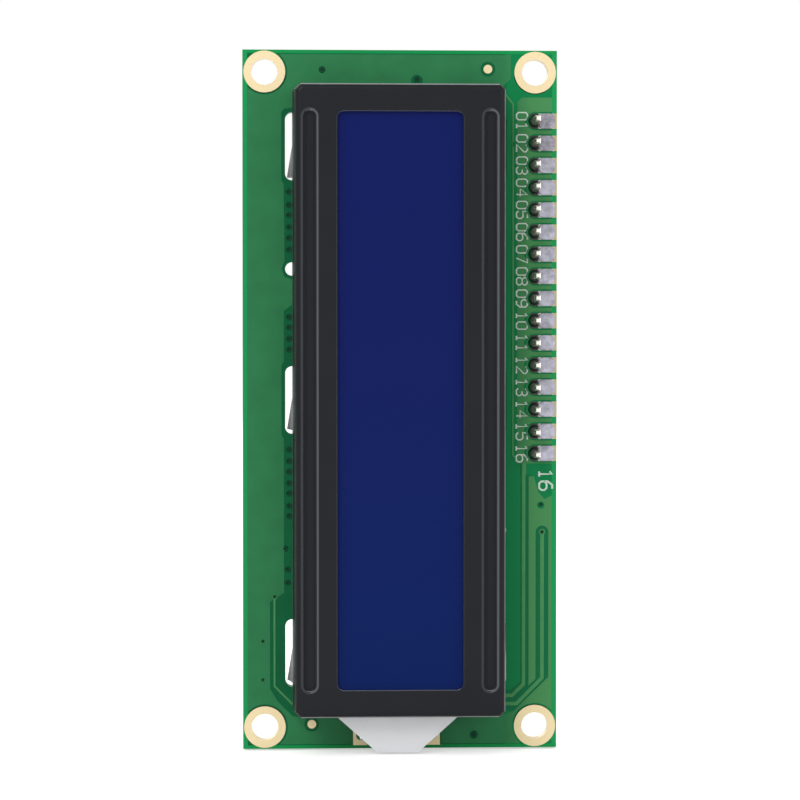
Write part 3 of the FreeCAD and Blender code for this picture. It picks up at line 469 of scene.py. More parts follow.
for k in range(5):
    x = -8.8 + 0.5 * k
    thin.append([(x, 20.0 - 0.35 * (k % 2)), (x, 16.95), (x + 2.6, 14.35)])
for k in range(6):
    x = -9.0 + 0.55 * k
    z = 3.3 + 0.35 * (k % 3)
    thin.append([(x, z), (x, z + 1.3 - 0.1 * k), (x + 3.1, z + 4.4 - 0.1 * k)])
for k in range(6):
    d = 0.36 * k
    thin.append([(-2.9 + d, -19.7), (2.0 + 0.1 * k, -24.6 + d), (5.6 - 0.12 * k, -24.6 + d),
                 (7.6 - d, -22.6 + 0.3 * k), (7.6 - d, -20.6 + 0.2 * k)])
for k in range(5):
    x = -4.9 + 0.95 * k
    thin.append([(x, -22.4), (x, -21.9), (x - 1.1 + 0.2 * k, -20.6), (x - 1.1 + 0.2 * k, -18.6)])
    thin.append([(x + 0.45, -21.6), (x + 0.45, -21.2), (x - 0.5 + 0.2 * k, -20.1),
                 (x - 0.5 + 0.2 * k, -18.2)])
for k in range(4):
    thin.append([(-6.36 + 0.4 * k, -18.5 + 0.2 * k), (-6.36 + 0.4 * k, -14 - 0.5 * k)])
supply_run = [(5.2, -37.1), (12.25, -37.1), (14.0, -35.2), (14.0, -16.0)]
supply = lay_track("supply_track", [supply_run], 0.8, BACK, 0.02)
bus_tracks = lay_track("bus_tracks", buses + [[(-17.27, -34.6), (-17.27, 34.5)]], 0.42, BACK, 0.024)
thin_tracks = lay_track("thin_tracks", thin, 0.17, BACK, 0.018)
back_vias = [(via_x, z) for z in column] + [
    (-8.98, 37.63), (-8.90, 34.08), (-7.73, 34.21), (-12.6, -21.5), (-12.6, -20.6), (-12.6, -22.4),
    (-13.2, -17.6), (-14.9, -30.6), (-14.9, -26.7), (-6.0, -30.0), (-6.0, -26.2), (5.2, -35.3), (6.9, -31.9),
    (-3.9, 5.2), (-4.6, 9.2), (-7.6, 9.6), (-7.0, 11.1), (-7.4, 13.0), (-4.6, 2.6), (-5.1, 3.3)]
back_vias += [(-4.9 + 0.95 * k, -22.4) for k in range(5)] + [(-4.45 + 0.95 * k, -21.6) for k in range(5)]
back_vias += [(3.4 + 1.5 * k, -22.6) for k in range(3)]
back_vias += [(-8.8 + 0.5 * k, 20.0 - 0.35 * (k % 2)) for k in range(5)]
via_rims = lay_track("back_via_rims", [closed(disc_of(x, z, 0.24, 14)) for x, z in back_vias], 0.18, BACK,
                     0.018)
back_tracks = weld("back_tracks", bus_tracks, supply, thin_tracks, via_rims)
back_green = finish("back_track_under_mask", "36875a", 0.36, shine=0.12)
# Painted light and shade: the tracks are lighter on the left of the back, darker on the right.
tint_where(along(back_green, "X", -13.6, -14.0), "5aa068", 0.9)
tint_where(along(back_green, "X", 8, 12), "1d7f4c", 0.9)
settle(back_tracks, back_green)

# The mask is flooded on, so it stands a little thick beside every copper edge and over the
# covered vias, and is darker there: partly its own colour, partly painted shade at the copper's foot.
# The vias are drilled and plated, and their holes are dark.
back_pool = lay_track("back_pool", [closed(outline) for outlines in back_grounds for outline in outlines],
                      0.34, BACK, 0.012)
wide_pool = lay_track("wide_pool", buses + [[(-16.95, -34.6), (-16.95, 34.5)]], 0.95, BACK, 0.010)
supply_pool = lay_track("supply_pool", [supply_run], 1.6, BACK, 0.010)
front_pool = lay_sheet("front_pool", [
    [(14.4, -8.6), (15.0, -8.6), (15.0, -14.0), (17.2, -14.0), (17.2, -32.0), (13.6, -35.8), (11.4, -35.8),
     (11.4, -33.4), (12.7, -33.4), (14.1, -32.2), (14.4, -31.9)],
], FRONT - 0.002, 0.016)
via_pools = lay_track("via_pools", [closed(disc_of(x, z, 0.28, 16)) for x, z in dark_vias], 0.24, FRONT, 0.02)
pools = weld("mask_pools_and_shade", back_pool, wide_pool, supply_pool, front_pool, via_pools)
settle(pools, mask_pooled_shade)

# Painted shade: dark discs on each face stand for the shade inside the via holes.
via_hole_shade = finish("via_hole", "06331d", 0.6, shine=0.2, mottle=0.2, patch=0.5)
front_holes = [disc_of(x, z, 0.19, 14) for x, z in open_vias + dark_vias]
back_holes = [disc_of(x, z, 0.17, 14) for x, z in back_vias]
via_holes = weld("via_holes", lay_sheet("via_holes", front_holes, FRONT - 0.016, 0.02),
                 lay_sheet("via_holes", back_holes, BACK + 0.016, 0.02))
settle(via_holes, via_hole_shade)


# Bare pads: copper with a pale gold finish wherever the mask is left open. The four corner
# holes and the tail's holes are plated through, so ring, wall and ring are one piece.
pad_gold = finish("pad_gold", "e7d5b2", 0.4, metal=0.3, mottle=0.05, patch=0.8, grain=0.002, grain_size=0.08)
tint_where(along(pad_gold, "Y", 0.3, 0.0), "f7e2b2", 0.9)


def plated_hole(x, z, hole_r, ring_r, sides=64):
    """A ring on each face joined by the plated wall of the hole."""
    copper, proud = 0.03, 0.02
    bpy.ops.object.select_all(action="DESELECT")
    bpy.ops.mesh.primitive_circle_add(vertices=sides, radius=(hole_r - copper) * MM, fill_type="NOTHING",
                                      location=(0, -proud * MM, 0), rotation=(math.pi / 2, 0, 0))
    piece = bpy.context.object
    bpy.ops.object.transform_apply()
    bpy.ops.object.mode_set(mode="EDIT")
    bpy.ops.mesh.select_all(action="SELECT")
    grow = ring_r / (hole_r - copper)
    wide = {"value": (grow, 1, grow), "center_override": (0, 0, 0)}
    bpy.ops.mesh.extrude_edges_move(TRANSFORM_OT_translate={"value": (0, (BACK + 2 * proud) * MM, 0)})
    bpy.ops.mesh.extrude_edges_move()
    bpy.ops.transform.resize(**wide)
    bpy.ops.mesh.select_all(action="DESELECT")
    bpy.ops.object.mode_set(mode="OBJECT")
    for vertex in piece.data.vertices:
        vertex.select = vertex.co.y < 0
    bpy.ops.object.mode_set(mode="EDIT")
    bpy.ops.mesh.extrude_edges_move()
    bpy.ops.transform.resize(**wide)
    bpy.ops.mesh.select_all(action="SELECT")
    bpy.ops.mesh.normals_make_consistent(inside=False)
    bpy.ops.object.mode_set(mode="OBJECT")
    wall = piece.modifiers.new("copper", "SOLIDIFY")
    wall.thickness = copper * MM
    wall.offset = 0
    bpy.ops.object.modifier_apply(modifier="copper")
    piece.location = (x * MM, 0, z * MM)
    bpy.ops.object.transform_apply()
    return piece


corner_ring_r, tail_ring_r = 2.38, 0.92
tail_holes = [(-1.70, -36.1), (0.84, -36.1)]
rings = [plated_hole(x, z, 1.55, corner_ring_r) for x, z in corners]
rings += [plated_hole(x, z, 0.4, tail_ring_r, 32) for x, z in tail_holes]
on_front, on_back = FRONT - 0.01, BACK + 0.01
end_holes = [disc_of(x, -38.5, 0.6) for x in (-4.455, 3.595)]
end_fronts = [box_of(-4.56, -38.4, 1.65, 2.5), box_of(3.68, -38.4, 1.8, 2.5)]
end_pads = [box_of(-4.6, -38.55, 2.07, 2.1), box_of(3.48, -38.55, 2.1, 2.1)]
rings += [lay_sheet("end_pads", outlines, on_front, 0.03) for outlines in zip(end_fronts, end_holes)]
rings += [lay_sheet("end_pads", outlines, on_back, 0.03) for outlines in zip(end_pads, end_holes)]
front_dots = [disc_of(10.07, 37.87, 0.5), disc_of(-10.13, -37.2, 0.5)]
back_dots = [disc_of(-10.35, -36.1, 0.54), disc_of(10.0, 37.7, 0.54)]
lamp_pads = [box_of(-2.05, -39.0, 1.4, 1.75), box_of(0.75, -39.0, 2.0, 1.75)]
tab_pads = [box_of(x, z, 2.6, 7.25) for x in (-10.3, 9.3) for z in (-29, 0, 29)]
rings.append(lay_sheet("mark_dots", front_dots, on_front, 0.04))
rings.append(lay_sheet("mark_dots", back_dots, on_back, 0.04))
rings.append(lay_sheet("lamp_pads", lamp_pads, on_back, 0.03))
rings.append(lay_sheet("tab_pads", tab_pads, on_back, 0.04))
empty_x = (-6.34, -2.89)
small = [box_of(x, z, 1.42, 1.62) for x in empty_x for z in (-31.33, -29.0)]
small += [pill_of(x, z, 0.8, 2.0) for x in (-0.26, 1.02, 2.33, 3.6) for z in (-32.1, -26.45)]
small += [disc_of(-6.1, 22.05, 0.48), box_of(-6.1, 23.7, 0.95, 0.75)]
for z in (-29.39, -26.85):
    for side in (-1, 1):
        small.append([(5.52 + 0.72 * math.cos(a), z + side * (0.1 + 0.62 * math.sin(a)))
                      for a in [math.pi * i / 16 for i in range(17)]])
large_x, large_z = 12.52, -20.28
small += [box_of(large_x, large_z + side * 1.3, 1.45, 1.35) for side in (-1, 1)]
tiny = [(-6.46, 30.64), (-4.12, 30.64), (-1.78, 30.64), (-4.12, 22.97)]
small += [box_of(x, z + side * 0.85, 0.95, 0.7) for x, z in tiny for side in (-1, 1)]
rings.append(lay_sheet("small_pads", small, on_back, 0.035))
bare_pads = weld("bare_pads", *rings)
settle(bare_pads, pad_gold)

# The mask's shadowed rim round each pad: whole round a small one, and on the inner side of a
# corner ring.
rims = tab_pads + small + end_pads + back_dots + [disc_of(x, z, tail_ring_r) for x, z in tail_holes]
pad_rims = lay_track("pad_rims", [closed(points) for points in rims], 0.3, BACK, 0.016)
arcs = []
for x, z in corners:
    inward = math.atan2(-z, -x)
    arcs.append([(x + corner_ring_r * math.cos(inward + a), z + corner_ring_r * math.sin(inward + a))
                 for a in [2.0 * (i / 20 - 0.5) for i in range(21)]])
mask_rims = weld("mask_rims", pad_rims,
                 *[lay_track("corner_rims", arcs, 0.26, y, 0.016) for y in (BACK, FRONT)])
settle(mask_rims, finish("mask_rim", "163f22", 0.4, shine=0.12, mottle=0.1, patch=1.0))
row_pads = lay_sheet("row_pads", [pill_of(15.45, z, 1.9, 1.75) for z in row], on_back, 0.04)
row_strips = lay_sheet("row_strips", [box_of(16.98, z, 2.04, 1.96) for z in row], BACK + 0.008, 0.035)
back_row = weld("back_row", row_pads, row_strips)
# Painted shadow: these pads are the same gold, painted darker and tan where the adapter shades them.
settle(back_row, finish("pad_gold_shadowed", "b3a173", 0.42, metal=0.3, patch=0.9, grain=0.004))
link = lay_sheet("end_link", [box_of(15.6, 34.45, 0.95, 1.05)], on_back, 0.05)
settle(link, finish("dull_tin", "a9a18c", 0.45, metal=0.5, mottle=0.15, patch=0.5, grain=0.006))


# White ink, screened on the mask: frames round the parts, rings round the dice and plain
# numbers. The numbers are drawn as single strokes, the way a plotter writes them.
ink_white = finish("ink_white", "d6e5d9", 0.6, shine=0.3, mottle=0.06, patch=0.4, grain=0.006,
                   grain_size=0.08)
strokes = {
    "0": [[(0, 1), (0, 5), (1, 6), (3, 6), (4, 5), (4, 1), (3, 0), (1, 0), (0, 1)]],
    "1": [[(0.8, 4.8), (2, 6), (2, 0)], [(0.8, 0), (3.2, 0)]],
    "2": [[(0, 5), (1, 6), (3, 6), (4, 5), (4, 4), (0, 0), (4, 0)]],
    "3": [[(0, 5), (1, 6), (3, 6), (4, 5), (4, 4), (3, 3.1), (1.6, 3.1)],
          [(3, 3.1), (4, 2), (4, 1), (3, 0), (1, 0), (0, 1)]],
    "4": [[(3, 0), (3, 6), (0, 2), (4, 2)]],
    "5": [[(3.8, 6), (0.3, 6), (0, 3.5), (3, 3.6), (4, 2.6), (4, 1), (3, 0), (1, 0), (0, 1)]],
    "6": [[(3.4, 6), (1.6, 6), (0, 4), (0, 1), (1, 0), (3, 0), (4, 1), (4, 2.4), (3, 3.4), (1, 3.4), (0, 2.4)]],
    "7": [[(0, 6), (4, 6), (1.4, 0)]],
    "8": [[(1, 3.1), (0, 4), (0, 5), (1, 6), (3, 6), (4, 5), (4, 4), (3, 3.1), (1, 3.1)],
          [(1, 3.1), (0, 2), (0, 1), (1, 0), (3, 0), (4, 1), (4, 2), (3, 3.1)]],
    "9": [[(0.6, 0), (2.4, 0), (4, 2), (4, 5), (3, 6), (1, 6), (0, 5), (0, 3.6), (1, 2.6), (3, 2.6), (4, 3.6)]],
    "+": [[(0, 3), (4, 3)], [(2, 1), (2, 5)]],
}


def write(text, x, z, high, flip=-1):
    """Strokes of a number about (x, z), turned a quarter. flip is 1 on the front, -1 on the back."""
    size, step = high / 6, 5.4
    across = (len(text) * step - 1.4) * size
    lines = []
    for i, sign in enumerate(text):
        for stroke in strokes[sign]:
            lines.append([(x + v * size - high / 2, z - flip * ((u + step * i) * size - across / 2))
                          for u, v in stroke])
    return lines


front_names = []
for i, z in enumerate(row):
    front_names += write("%02d" % (i + 1), 14.0, z, 1.25, flip=1)
front_names += write("16", 16.75, -9.2, 1.5, flip=1)
front_lines = lay_track("front_ink", front_names, 0.26, FRONT, 0.03)

frames = []
for x in empty_x:
    frames += [[(x - 1.25, -30.35), (x - 1.25, -32.6), (x + 1.25, -32.6), (x + 1.25, -30.35)],
               [(x - 1.25, -29.95), (x - 1.25, -27.4)], [(x + 1.25, -29.95), (x + 1.25, -27.4)]]
frames.append([(3.3, -30.5), (-0.98, -30.5), (-0.98, -27.85), (4.25, -27.85), (4.25, -28.45), (3.85, -28.5),
               (3.5, -28.95), (3.5, -29.4), (3.85, -29.85), (4.25, -29.9), (4.25, -30.5), (3.3, -30.5)])
for z in (-31.78, -29.39, -26.85):
    frames.append(closed(disc_of(5.52, z, 1.13, 28)))
for side in (-1, 1):
    near, far = large_z + side * 0.5, large_z + side * 2.55
    frames.append([(11.2, near), (11.2, far), (13.84, far), (13.84, near)])
for x, z in tiny[:3] + [(-6.2, 22.95), (-4.12, 22.95)]:
    for side in (-1, 1):
        near, far = z + side * 0.3, z + side * 1.62
        frames.append([(x - 0.98, near), (x - 0.98, far), (x + 0.98, far), (x + 0.98, near)])
frame_lines = lay_track("frame_lines", frames, 0.40, BACK, 0.035)
ink_y = BACK + 0.012
small_die, large_die = (0.4, -13.3), (-0.45, 12.95)
dice_rings = lay_sheet("dice_rings", [
    disc_of(*small_die, 5.68, 96), disc_of(0.43, -13.26, 5.16, 96),
    disc_of(*large_die, 6.9, 96), disc_of(-0.43, 12.95, 6.3, 96)], ink_y, 0.03)
bars = lay_sheet("frame_bars", [box_of(x, -27.25, 2.76, 0.62) for x in empty_x], ink_y, 0.03)
numbers = []
for text, x, z, high in (
    ("1", -6.9, -38.5, 1.5), ("2", 6.2, -38.4, 1.5), ("22", -6.4, -34.0, 1.55), ("21", -2.9, -34.0, 1.55),
    ("+", -6.34, -26.1, 1.9), ("+", -2.89, -26.1, 1.9), ("13", -0.2, -23.4, 1.6), ("1", 7.2, -31.78, 1.2),
    ("2", 7.2, -29.39, 1.2), ("3", 7.2, -26.85, 1.2), ("38", 13.6, -24.6, 1.6), ("12", -5.9, -17.0, 1.5),
    ("11", -7.2, 8.1, 1.5), ("23", -8.7, 20.6, 1.5), ("31", -6.6, 26.9, 1.35), ("32", -4.1, 26.9, 1.35),
    ("33", -1.7, 26.9, 1.35), ("36", -1.7, 20.6, 1.35), ("16", 16.75, -8.6, 1.3),
):
    numbers += write(text, x, z, high)
number_lines = lay_track("back_numbers", numbers, 0.30, BACK, 0.035)
board_ink = weld("board_ink", front_lines, frame_lines, dice_rings, bars, number_lines)
settle(board_ink, ink_white)
row_number = lay_track("row_number", write("123456", 16.3, -20.3, 1.0), 0.16, BACK, 0.03)
settle(row_number, finish("ink_yellow", "b3a548", 0.5, shine=0.3, mottle=0.1, patch=0.4))


# The bezel: thin steel, drawn, pierced and blacked with a satin paint. Its bends, edges and foot
# have painted highlights, the walls of its grooves painted highlights and shade, and the band of
# the bend painted shade; the twisted tabs are rubbed along the top, with a painted highlight there.
def wear_and_highlight_edges(made, code, radius, share=0.6):
    """A lighter tone along outer edges: partly wear, where handling has polished or thinned a
    surface, and partly a painted highlight where a rounded edge catches the light.
    """
    tree = made.node_tree
    soft = add_step(tree, "Bevel", {"Radius": radius * MM}, samples=4).outputs["Normal"]
    plain = add_step(tree, "NewGeometry").outputs["Normal"]
    match = add_step(tree, "VectorMath", {0: soft, 1: plain}, operation="DOT_PRODUCT").outputs["Value"]
    tint_where(both(ramp_of(match, 0.99, 0.86), fine_grain(made)), code, share)


def groove_place(made, middle, apart, half):
    """Signed way across from the middle line of the nearer of two upright grooves, and the
    distance from that line, whose ends are half above and below the middle. In metres."""
    tree = made.node_tree
    split = add_step(tree, "SeparateXYZ", {0: add_step(tree, "TexCoord").outputs["Object"]})

    def sum_of(kind, first, second=0.0):
        return add_step(tree, "Math", {0: first, 1: second}, operation=kind).outputs[0]

    off = sum_of("SUBTRACT", split.outputs["X"], middle * MM)
    across = sum_of("SUBTRACT", off, sum_of("MULTIPLY", sum_of("SIGN", off), apart * MM))
    past = sum_of("MAXIMUM", sum_of("SUBTRACT", sum_of("ABSOLUTE", split.outputs["Z"]), half * MM))
    both_ways = add_step(tree, "CombineXYZ", {"X": across, "Y": past}).outputs[0]
    return across, add_step(tree, "VectorMath", {0: both_ways}, operation="LENGTH").outputs["Value"]


black_paint = finish("black_paint", "14171c", 0.42, shine=0.16, mottle=0.10, patch=6.0, grain=0.005,
                     grain_size=0.25)
inputs_of(black_paint.node_tree)["Coat Weight"].default_value = 0.05
inputs_of(black_paint.node_tree)["Coat Roughness"].default_value = 0.3
across, away = groove_place(black_paint, -0.24, 10.15, 31.85)
face = along(black_paint, "Y", -6.0, -6.3)
groove_blur = 0.06
# Painted shade and painted highlights on the walls of the two pressed grooves.
for side, low, high, code, share in (
    (-1, 0.30, 0.80, "07080a", 0.75), (-1, 0.84, 1.02, "404246", 0.8),
    (1, 0.38, 0.60, "07080a", 0.75), (1, 0.68, 0.96, "5a5c61", 0.9),
):
    line = both(ramp_of(away, (low - groove_blur) * MM, (low + groove_blur) * MM),
                ramp_of(away, (high + groove_blur) * MM, (high - groove_blur) * MM))
    half = ramp_of(across, -0.1 * side * MM, 0.1 * side * MM)
    tint_where(both(both(line, half), face), code, share)
wear_and_highlight_edges(black_paint, "6a6b70", 0.18, 0.8)
# The tabs' tops: bare sheared steel, with a painted highlight along the ridge.
tab_top = both(along(black_paint, "Y", 2.3, 2.85), facing(black_paint, "Y", 0.55, 0.8))
tint_where(tab_top, "55524e", 0.4)
# Painted shade: a dark band on the bend between the bezel's front and its walls.
bend = both(facing(black_paint, "Y", 0.97, 0.85), facing(black_paint, "Y", 0.1, 0.35))
tint_where(both(bend, along(black_paint, "Y", -5.0, -6.2)), "08090b", 0.8)
# Painted highlights along the upper, lower and right bends of the bezel's front.
front_bend = along(black_paint, "Y", -4.6, -5.6)
tint_where(both(front_bend, facing(black_paint, "Z", 0.72, 0.84)), "9a9ca0", 0.8)
right_bend = both(front_bend, along(black_paint, "X", 10, 11))
tint_where(both(right_bend, facing(black_paint, "X", 0.78, 0.88)), "7c7e82", 0.8)
# A lighter line along the foot: partly the raw sheared edge, partly a painted highlight.
foot = both(along(black_paint, "Y", -0.9, -0.3), along(black_paint, "Y", 0.05, -0.1))
tint_where(foot, "85888c", 0.7)
dress(black_paint, "bezel")


# The display cell: a deep blue polariser in front, two ground-edged glass plates with the
# liquid crystal between them, and a grey polariser behind. The blue is very even.
blue_film = finish("blue_film", "0f1c5d", 0.20, shine=0.06, mottle=0.015, patch=14.0)
tint_where(along(blue_film, "Z", 10, -34), "031f5d", 0.95)
dress(blue_film, "front_polarizer")
edge_glass = finish("edge_glass", "8fa79f", 0.12, mottle=0.06, patch=3.0, grain=0.006, grain_size=0.12)
inputs_of(edge_glass.node_tree)["Transmission Weight"].default_value = 0.55
dress(edge_glass, "front_glass", "rear_glass")
grey_film = finish("grey_film", "3d4048", 0.3, mottle=0.05, patch=5.0)
dress(grey_film, "rear_polarizer")


# The rubber strips: pink silicone sponge with a dark core of fine carbon layers, which joins
# the glass to the board's contact rows. Only their backs show, in the slots.
# Painted light: the pink is lighter than the rubber's own, against the shade in the slots.
zebra_pink = finish("zebra_pink", "e08aa2", 0.6, shine=0.25, patch=1.2, grain=0.02, grain_size=0.12)
layer_scale = math.tau / (20 * 0.18 * MM)
where = add_step(zebra_pink.node_tree, "TexCoord").outputs["Object"]
layers = add_step(zebra_pink.node_tree, "TexWave", {"Vector": where, "Scale": layer_scale, "Distortion": 0.4},
                  bands_direction="Z")
tint_where(layers.outputs["Fac"], "b05c7c", 0.35)
dress(zebra_pink, "zebra_strip_left", "zebra_strip_right")


# The backlight: an acrylic light guide between a diffuser and a white reflector, whose pale
# tail leaves the bezel at the lower end and ends at the lamp that shines into it.
guide_clear = finish("guide_clear", "dfe6e4", 0.15, mottle=0.02, patch=5.0, grain=0.004, grain_size=0.2)
inputs_of(guide_clear.node_tree)["Transmission Weight"].default_value = 0.7
dress(guide_clear, "light_guide")
# Painted light: the films are whiter than their own white, against the bezel's shadow on the tail. Darker
# towards the tail's end.
white_film = finish("white_film", "fafbfc", 0.42, shine=0.4, mottle=0.03, patch=4.0, grain=0.006,
                    grain_size=0.4)
tint_where(along(white_film, "Z", -36.4, -39.8), "dcdee2", 0.6)
dress(white_film, "tail_film", "diffuser_film", "reflector_film")
lamp_white = finish("lamp_white", "e6e4da", 0.4, mottle=0.04, patch=0.6, grain=0.006, grain_size=0.08)
dress(lamp_white, "backlight_lamp")
tinned = finish("tinned", "bdbab4", 0.34, metal=0.85, mottle=0.12, patch=0.5, grain=0.004, grain_size=0.07)
dress(tinned, "lamp_leads")
solder_grey = finish("solder_grey", "a4a4a6", 0.28, metal=0.8, mottle=0.22, patch=0.35, grain=0.02,
                     grain_size=0.16)
dress(solder_grey, "lamp_solder", "solder_bridge")


# Two dabs of black epoxy over the driver dice. It was poured and cured, so it is smooth
# and satin, a little dusty, with a broad dull light on top and a few pits at the rim.
dome_black = finish("dome_black", "0f1115", 0.36, shine=0.38, mottle=0.22, patch=2.4, grain=0.03,
                    grain_size=0.9)
dress(dome_black, "small_dome", "large_dome")
# Flat dark discs stand for the pits; their darkness is painted shade.
pits = ((5.0, -11.4, 0.16), (-1.6, -17.7, 0.12), (2.9, -17.6, 0.14), (-4.4, -10.9, 0.11), (-6.35, 15.2, 0.13),
        (-6.0, 9.9, 0.12))
rim_pits = weld("rim_pits", *[lay_sheet("pit", [disc_of(*pit, 12)], BACK + 0.06, 0.05) for pit in pits])
settle(rim_pits, finish("pit_shade", "08090a", 0.5, shine=0.2, patch=0.3))
skirts = []
for (x, z), r, start in ((small_die, 5.36, 0.4), (large_die, 6.52, 2.0)):
    skirts.append([])
    for a in [math.tau * i / 96 for i in range(96)]:
        uneven = r + 0.09 * math.sin(2 * a + start) + 0.05 * math.sin(5 * a)
        skirts[-1].append((x + uneven * math.cos(a), z + uneven * math.sin(a)))
epoxy_skirts = lay_sheet("epoxy_skirts", skirts, BACK + 0.03, 0.1)
settle(epoxy_skirts, dome_black)


# The sixteen straight pins and their plastic strip between the boards. The pins are tinned
# square wire, soldered on the front to pads that run to the board's side.
header_black = finish("header_black", "18191b", 0.48, shine=0.25, mottle=0.10, grain=0.008, grain_size=0.18)
wear_and_highlight_edges(header_black, "5a5b60", 0.08, 0.5)
dress(header_black, "header_strip", "jumper_base", "serial_base")
pin_tin = finish("pin_tin", "d6d0c2", 0.26, metal=0.85, mottle=0.07, patch=0.8, grain=0.003, grain_size=0.1)
# Painted highlight: the cut ends of the pins are painted near white.
tint_where(along(pin_tin, "Y", -3.7, -3.9), "fffaf0", 0.95)
dress(pin_tin, "header_pins")
pad_tin = finish("pad_tin", "c9c7c4", 0.34, metal=0.75, mottle=0.12, patch=0.7, grain=0.02, grain_size=0.3)
tint_where(along(pad_tin, "X", 17.6, 17.7), "b9a877", 0.95)
# Painted shade: the solder round each pin is dark, and further left the mask's shaded green.
tint_where(along(pad_tin, "X", 16.05, 15.8), "0e1812", 0.93)
tint_where(along(pad_tin, "X", 15.02, 14.86), "1d7043", 0.95)
dress(pad_tin, "pad_solder")


def solder_on(name, places, wide, long, rise, y, up=1, flat=False):
    """Solder at (x, z) places, shaped once and copied: puddles, or flat cushions on pads, all
    so wide and long and with such a rise above the face at y."""
    bpy.ops.object.select_all(action="DESELECT")
    if flat:
        bpy.ops.mesh.primitive_cube_add(size=1 * MM, location=(0, 0, 0))
    else:
        bpy.ops.mesh.primitive_uv_sphere_add(segments=20, ring_count=12, radius=0.5 * MM, location=(0, 0, 0),
                                             rotation=(math.pi / 2, 0, 0))
    first = bpy.context.object
    bpy.ops.object.transform_apply()
    bpy.ops.object.mode_set(mode="EDIT")
    bpy.ops.mesh.select_all(action="SELECT")
    if flat:
        bpy.ops.mesh.bevel(offset=0.3 * MM, segments=4)
        bpy.ops.mesh.select_all(action="SELECT")
    sunk = 0.12 if flat else 0.06
    bpy.ops.mesh.bisect(plane_co=(0, -sunk * MM * up, 0), plane_no=(0, up, 0), use_fill=True,
                        clear_inner=True, threshold=0.000001)
    bpy.ops.mesh.select_all(action="SELECT")
    bpy.ops.transform.resize(value=(wide, 2 * rise, long), center_override=(0, 0, 0))
    bpy.ops.object.mode_set(mode="OBJECT")
    pieces = [first]
    for _ in places[1:]:
        more = first.copy()
        more.data = first.data.copy()
        bpy.context.collection.objects.link(more)
        pieces.append(more)
    for piece, (x, z) in zip(pieces, places):
        piece.location = (x * MM, y * MM, z * MM)
    only(*pieces)
    bpy.ops.object.transform_apply()
    bpy.ops.object.shade_smooth_by_angle(angle=math.radians(50))
    return weld(name, *pieces)


solder_lilac = finish("solder_lilac", "a8a8b5", 0.36, metal=0.55, mottle=0.30, patch=0.7, grain=0.05,
                      grain_size=0.45)
first_rows = both(along(solder_lilac, "Z", 28.0, 28.6), fine_grain(solder_lilac))
tint_where(first_rows, "4a4038", 0.8)
pad_beads = solder_on("pad_beads", [(16.82, z) for z in row], wide=1.95, long=1.78, rise=0.22, y=-0.1, up=-1,
                      flat=True)
settle(pad_beads, solder_lilac)


# The chip resistors of the main board: a ceramic body with black glaze and tinned ends, held
# by a fillet of solder at each end.
glaze_black = finish("glaze_black", "1e1e22", 0.35, mottle=0.12, patch=0.5, grain=0.004, grain_size=0.1)
wear_and_highlight_edges(glaze_black, "8a8a8c", 0.05, 0.4)
dress(glaze_black, "board_resistor", "small_resistors", "adapter_resistors")
dress(tinned, "board_resistor_caps", "small_resistor_caps", "adapter_resistor_caps", "capacitor_caps")
board_fillets = weld(
    "board_fillets",
    solder_on("fillets", [(x, z + side * 0.86) for x, z in tiny for side in (-1, 1)], 0.84, 0.55, 0.3, BACK),
    solder_on("fillets", [(large_x, large_z + side * 1.5) for side in (-1, 1)], 1.4, 1.1, 0.42, BACK))
settle(board_fillets, solder_grey)


# The adapter board: the same laminate under a black mask, sawn out of a larger sheet, so its
# edges are bare and pale. Faint copper shows under the mask and the white ink is generous.
black_mask = finish("black_mask", "1c1d21", 0.40, shine=0.2, mottle=0.14, patch=3.0, grain=0.006,
                    grain_size=0.3)
tint_where(facing(black_mask, "Y", 0.5, 0.4), "8f9189", 0.9)
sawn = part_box("adapter_board")
for axis, low, inward in (("X", sawn[0].x, 1), ("Z", sawn[0].z, 1), ("Z", sawn[1].z, -1)):
    rim = along(black_mask, axis, low / MM + 0.26 * inward, low / MM + 0.18 * inward)
    tint_where(both(rim, fine_grain(black_mask)), "b9c0b4", 1.0)
dress(black_mask, "adapter_board")
dark_tracks = lay_track("dark_tracks", [
    [(3.9, 17.8), (3.9, 27.8), (4.3, 28.6), (5.2, 29.2), (12.2, 29.2)],
    [(3.4, 19.2), (3.4, 28.2), (4.0, 29.4), (4.0, 32.0)], [(2.9, 20.6), (2.9, 30.2), (3.6, 31.6)],
    [(-1.3, 6.0), (-1.3, 16.8), (-0.6, 17.8), (1.5, 17.8), (2.2, 18.6)],
    [(1.6, 1.6), (1.6, 11.2), (2.4, 12.0)], [(2.0, 0.4), (2.0, 10.8), (2.6, 11.4)],
    [(7.7, -1.6), (7.7, 6.2)], [(8.3, 5.6), (8.3, 6.4)], [(12.9, -5.8), (12.9, 8.4)],
    [(-1.3, -6.8), (-1.3, 0.4)], [(1.2, -6.9), (4.8, -6.9), (5.2, -5.0)],
    [(12.6, 18.0), (13.4, 19.0), (13.4, 31.0)], [(1.0, 32.2), (1.0, 21.0)], [(0.2, 20.2), (0.2, 18.9)],
], 0.3, TOP, 0.02)
settle(dark_tracks, finish("copper_under_black", "2a2b30", 0.42, shine=0.2, mottle=0.10, grain=0.003))

